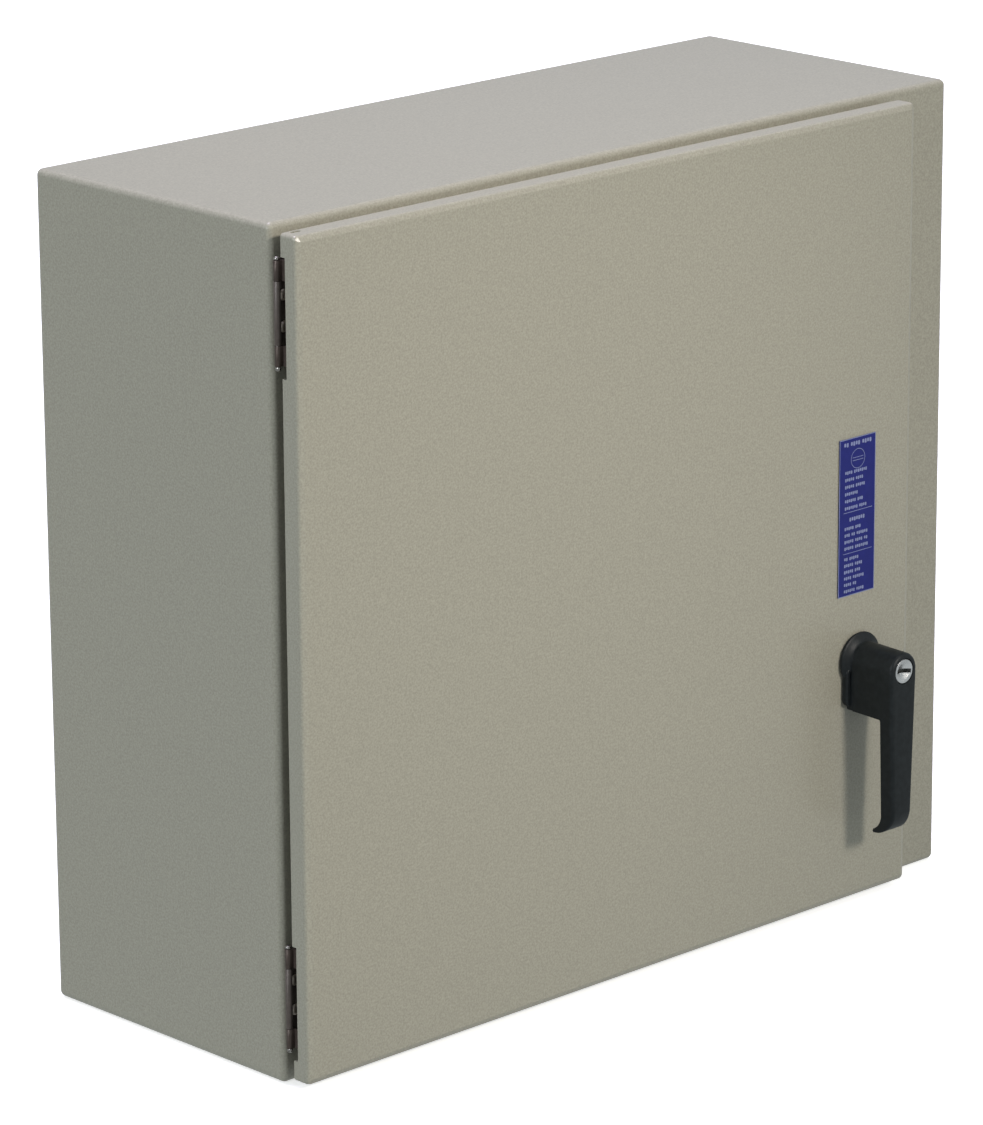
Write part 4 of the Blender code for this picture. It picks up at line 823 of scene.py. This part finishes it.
def make_glint(key):
    """The key's reflection, in every piece but the cabinet, whose top it would blow out from behind."""
    glint = key.copy()
    glint.name = "glint"
    key.visible_glossy = False
    glint.visible_diffuse = glint.visible_transmission = False
    receivers = bpy.data.collections.new("pieces_with_a_glint")
    cad = set(frame["nodes"].values())
    for obj in bpy.context.scene.objects:
        if obj.type == "MESH" and obj not in cad and obj.name not in ("cabinet", "floor"):
            receivers.objects.link(obj)
    glint.light_linking.receiver_collection = receivers
    bpy.context.scene.collection.objects.link(glint)


def make_light():
    sun("overhead", (0.0, -0.35, -1.0), 2.48, 30, (0.827, 0.769, 1.0))
    sun("left_fill", (0.97, 0.0, -0.25), 1.70, 40, (0.86, 0.92, 0.98))
    key = lamp("key", "SPOT", 254, (1.0, 0.93, 0.87), KEY_AIM - KEY_FROM)
    key.location = KEY_FROM
    key.data.spot_size, key.data.spot_blend = math.radians(31), 1.0
    key.data.shadow_soft_size = 0.30
    make_glint(key)
    world = bpy.data.worlds.new("studio")
    world.use_nodes = True
    nodes, links = world.node_tree.nodes, world.node_tree.links
    back = nodes["Background"]
    back.inputs[0].default_value = (0.90, 0.97, 1.0, 1)
    path = nodes.new("ShaderNodeLightPath")
    place = nodes.new("ShaderNodeSeparateXYZ")
    links.new(nodes.new("ShaderNodeTexCoord").outputs["Generated"], place.inputs[0])
    room = nodes.new("ShaderNodeMapRange")  # dimmer towards the left of the room
    for socket, value in zip(range(1, 5), (-1.0, 0.0, 0.20, 0.50)):
        room.inputs[socket].default_value = value
    links.new(place.outputs["X"], room.inputs[0])
    level = nodes.new("ShaderNodeMapRange")
    level.inputs[4].default_value = SEEN_BACKGROUND
    links.new(path.outputs["Is Camera Ray"], level.inputs[0])
    links.new(room.outputs[0], level.inputs[3])
    links.new(level.outputs[0], back.inputs[1])
    bpy.context.scene.world = world


def make_camera():
    """The photograph's view: from the front left, a little above, through a long lens."""
    up = CAMERA_RIGHT.cross(CAMERA_FORWARD)
    data = bpy.data.cameras.new("camera")
    data.lens, data.sensor_width = LENS, 36
    data.clip_start, data.clip_end = 0.1, 60
    camera = bpy.data.objects.new("camera", data)
    turn = Matrix((CAMERA_RIGHT, up, -CAMERA_FORWARD)).transposed().to_4x4()
    camera.matrix_world = Matrix.Translation(CAMERA_AT) @ turn
    bpy.context.scene.collection.objects.link(camera)
    bpy.context.scene.camera = camera


make_object()
make_stage()
make_light()
make_camera()
bpy.context.scene.view_settings.view_transform = "Standard"
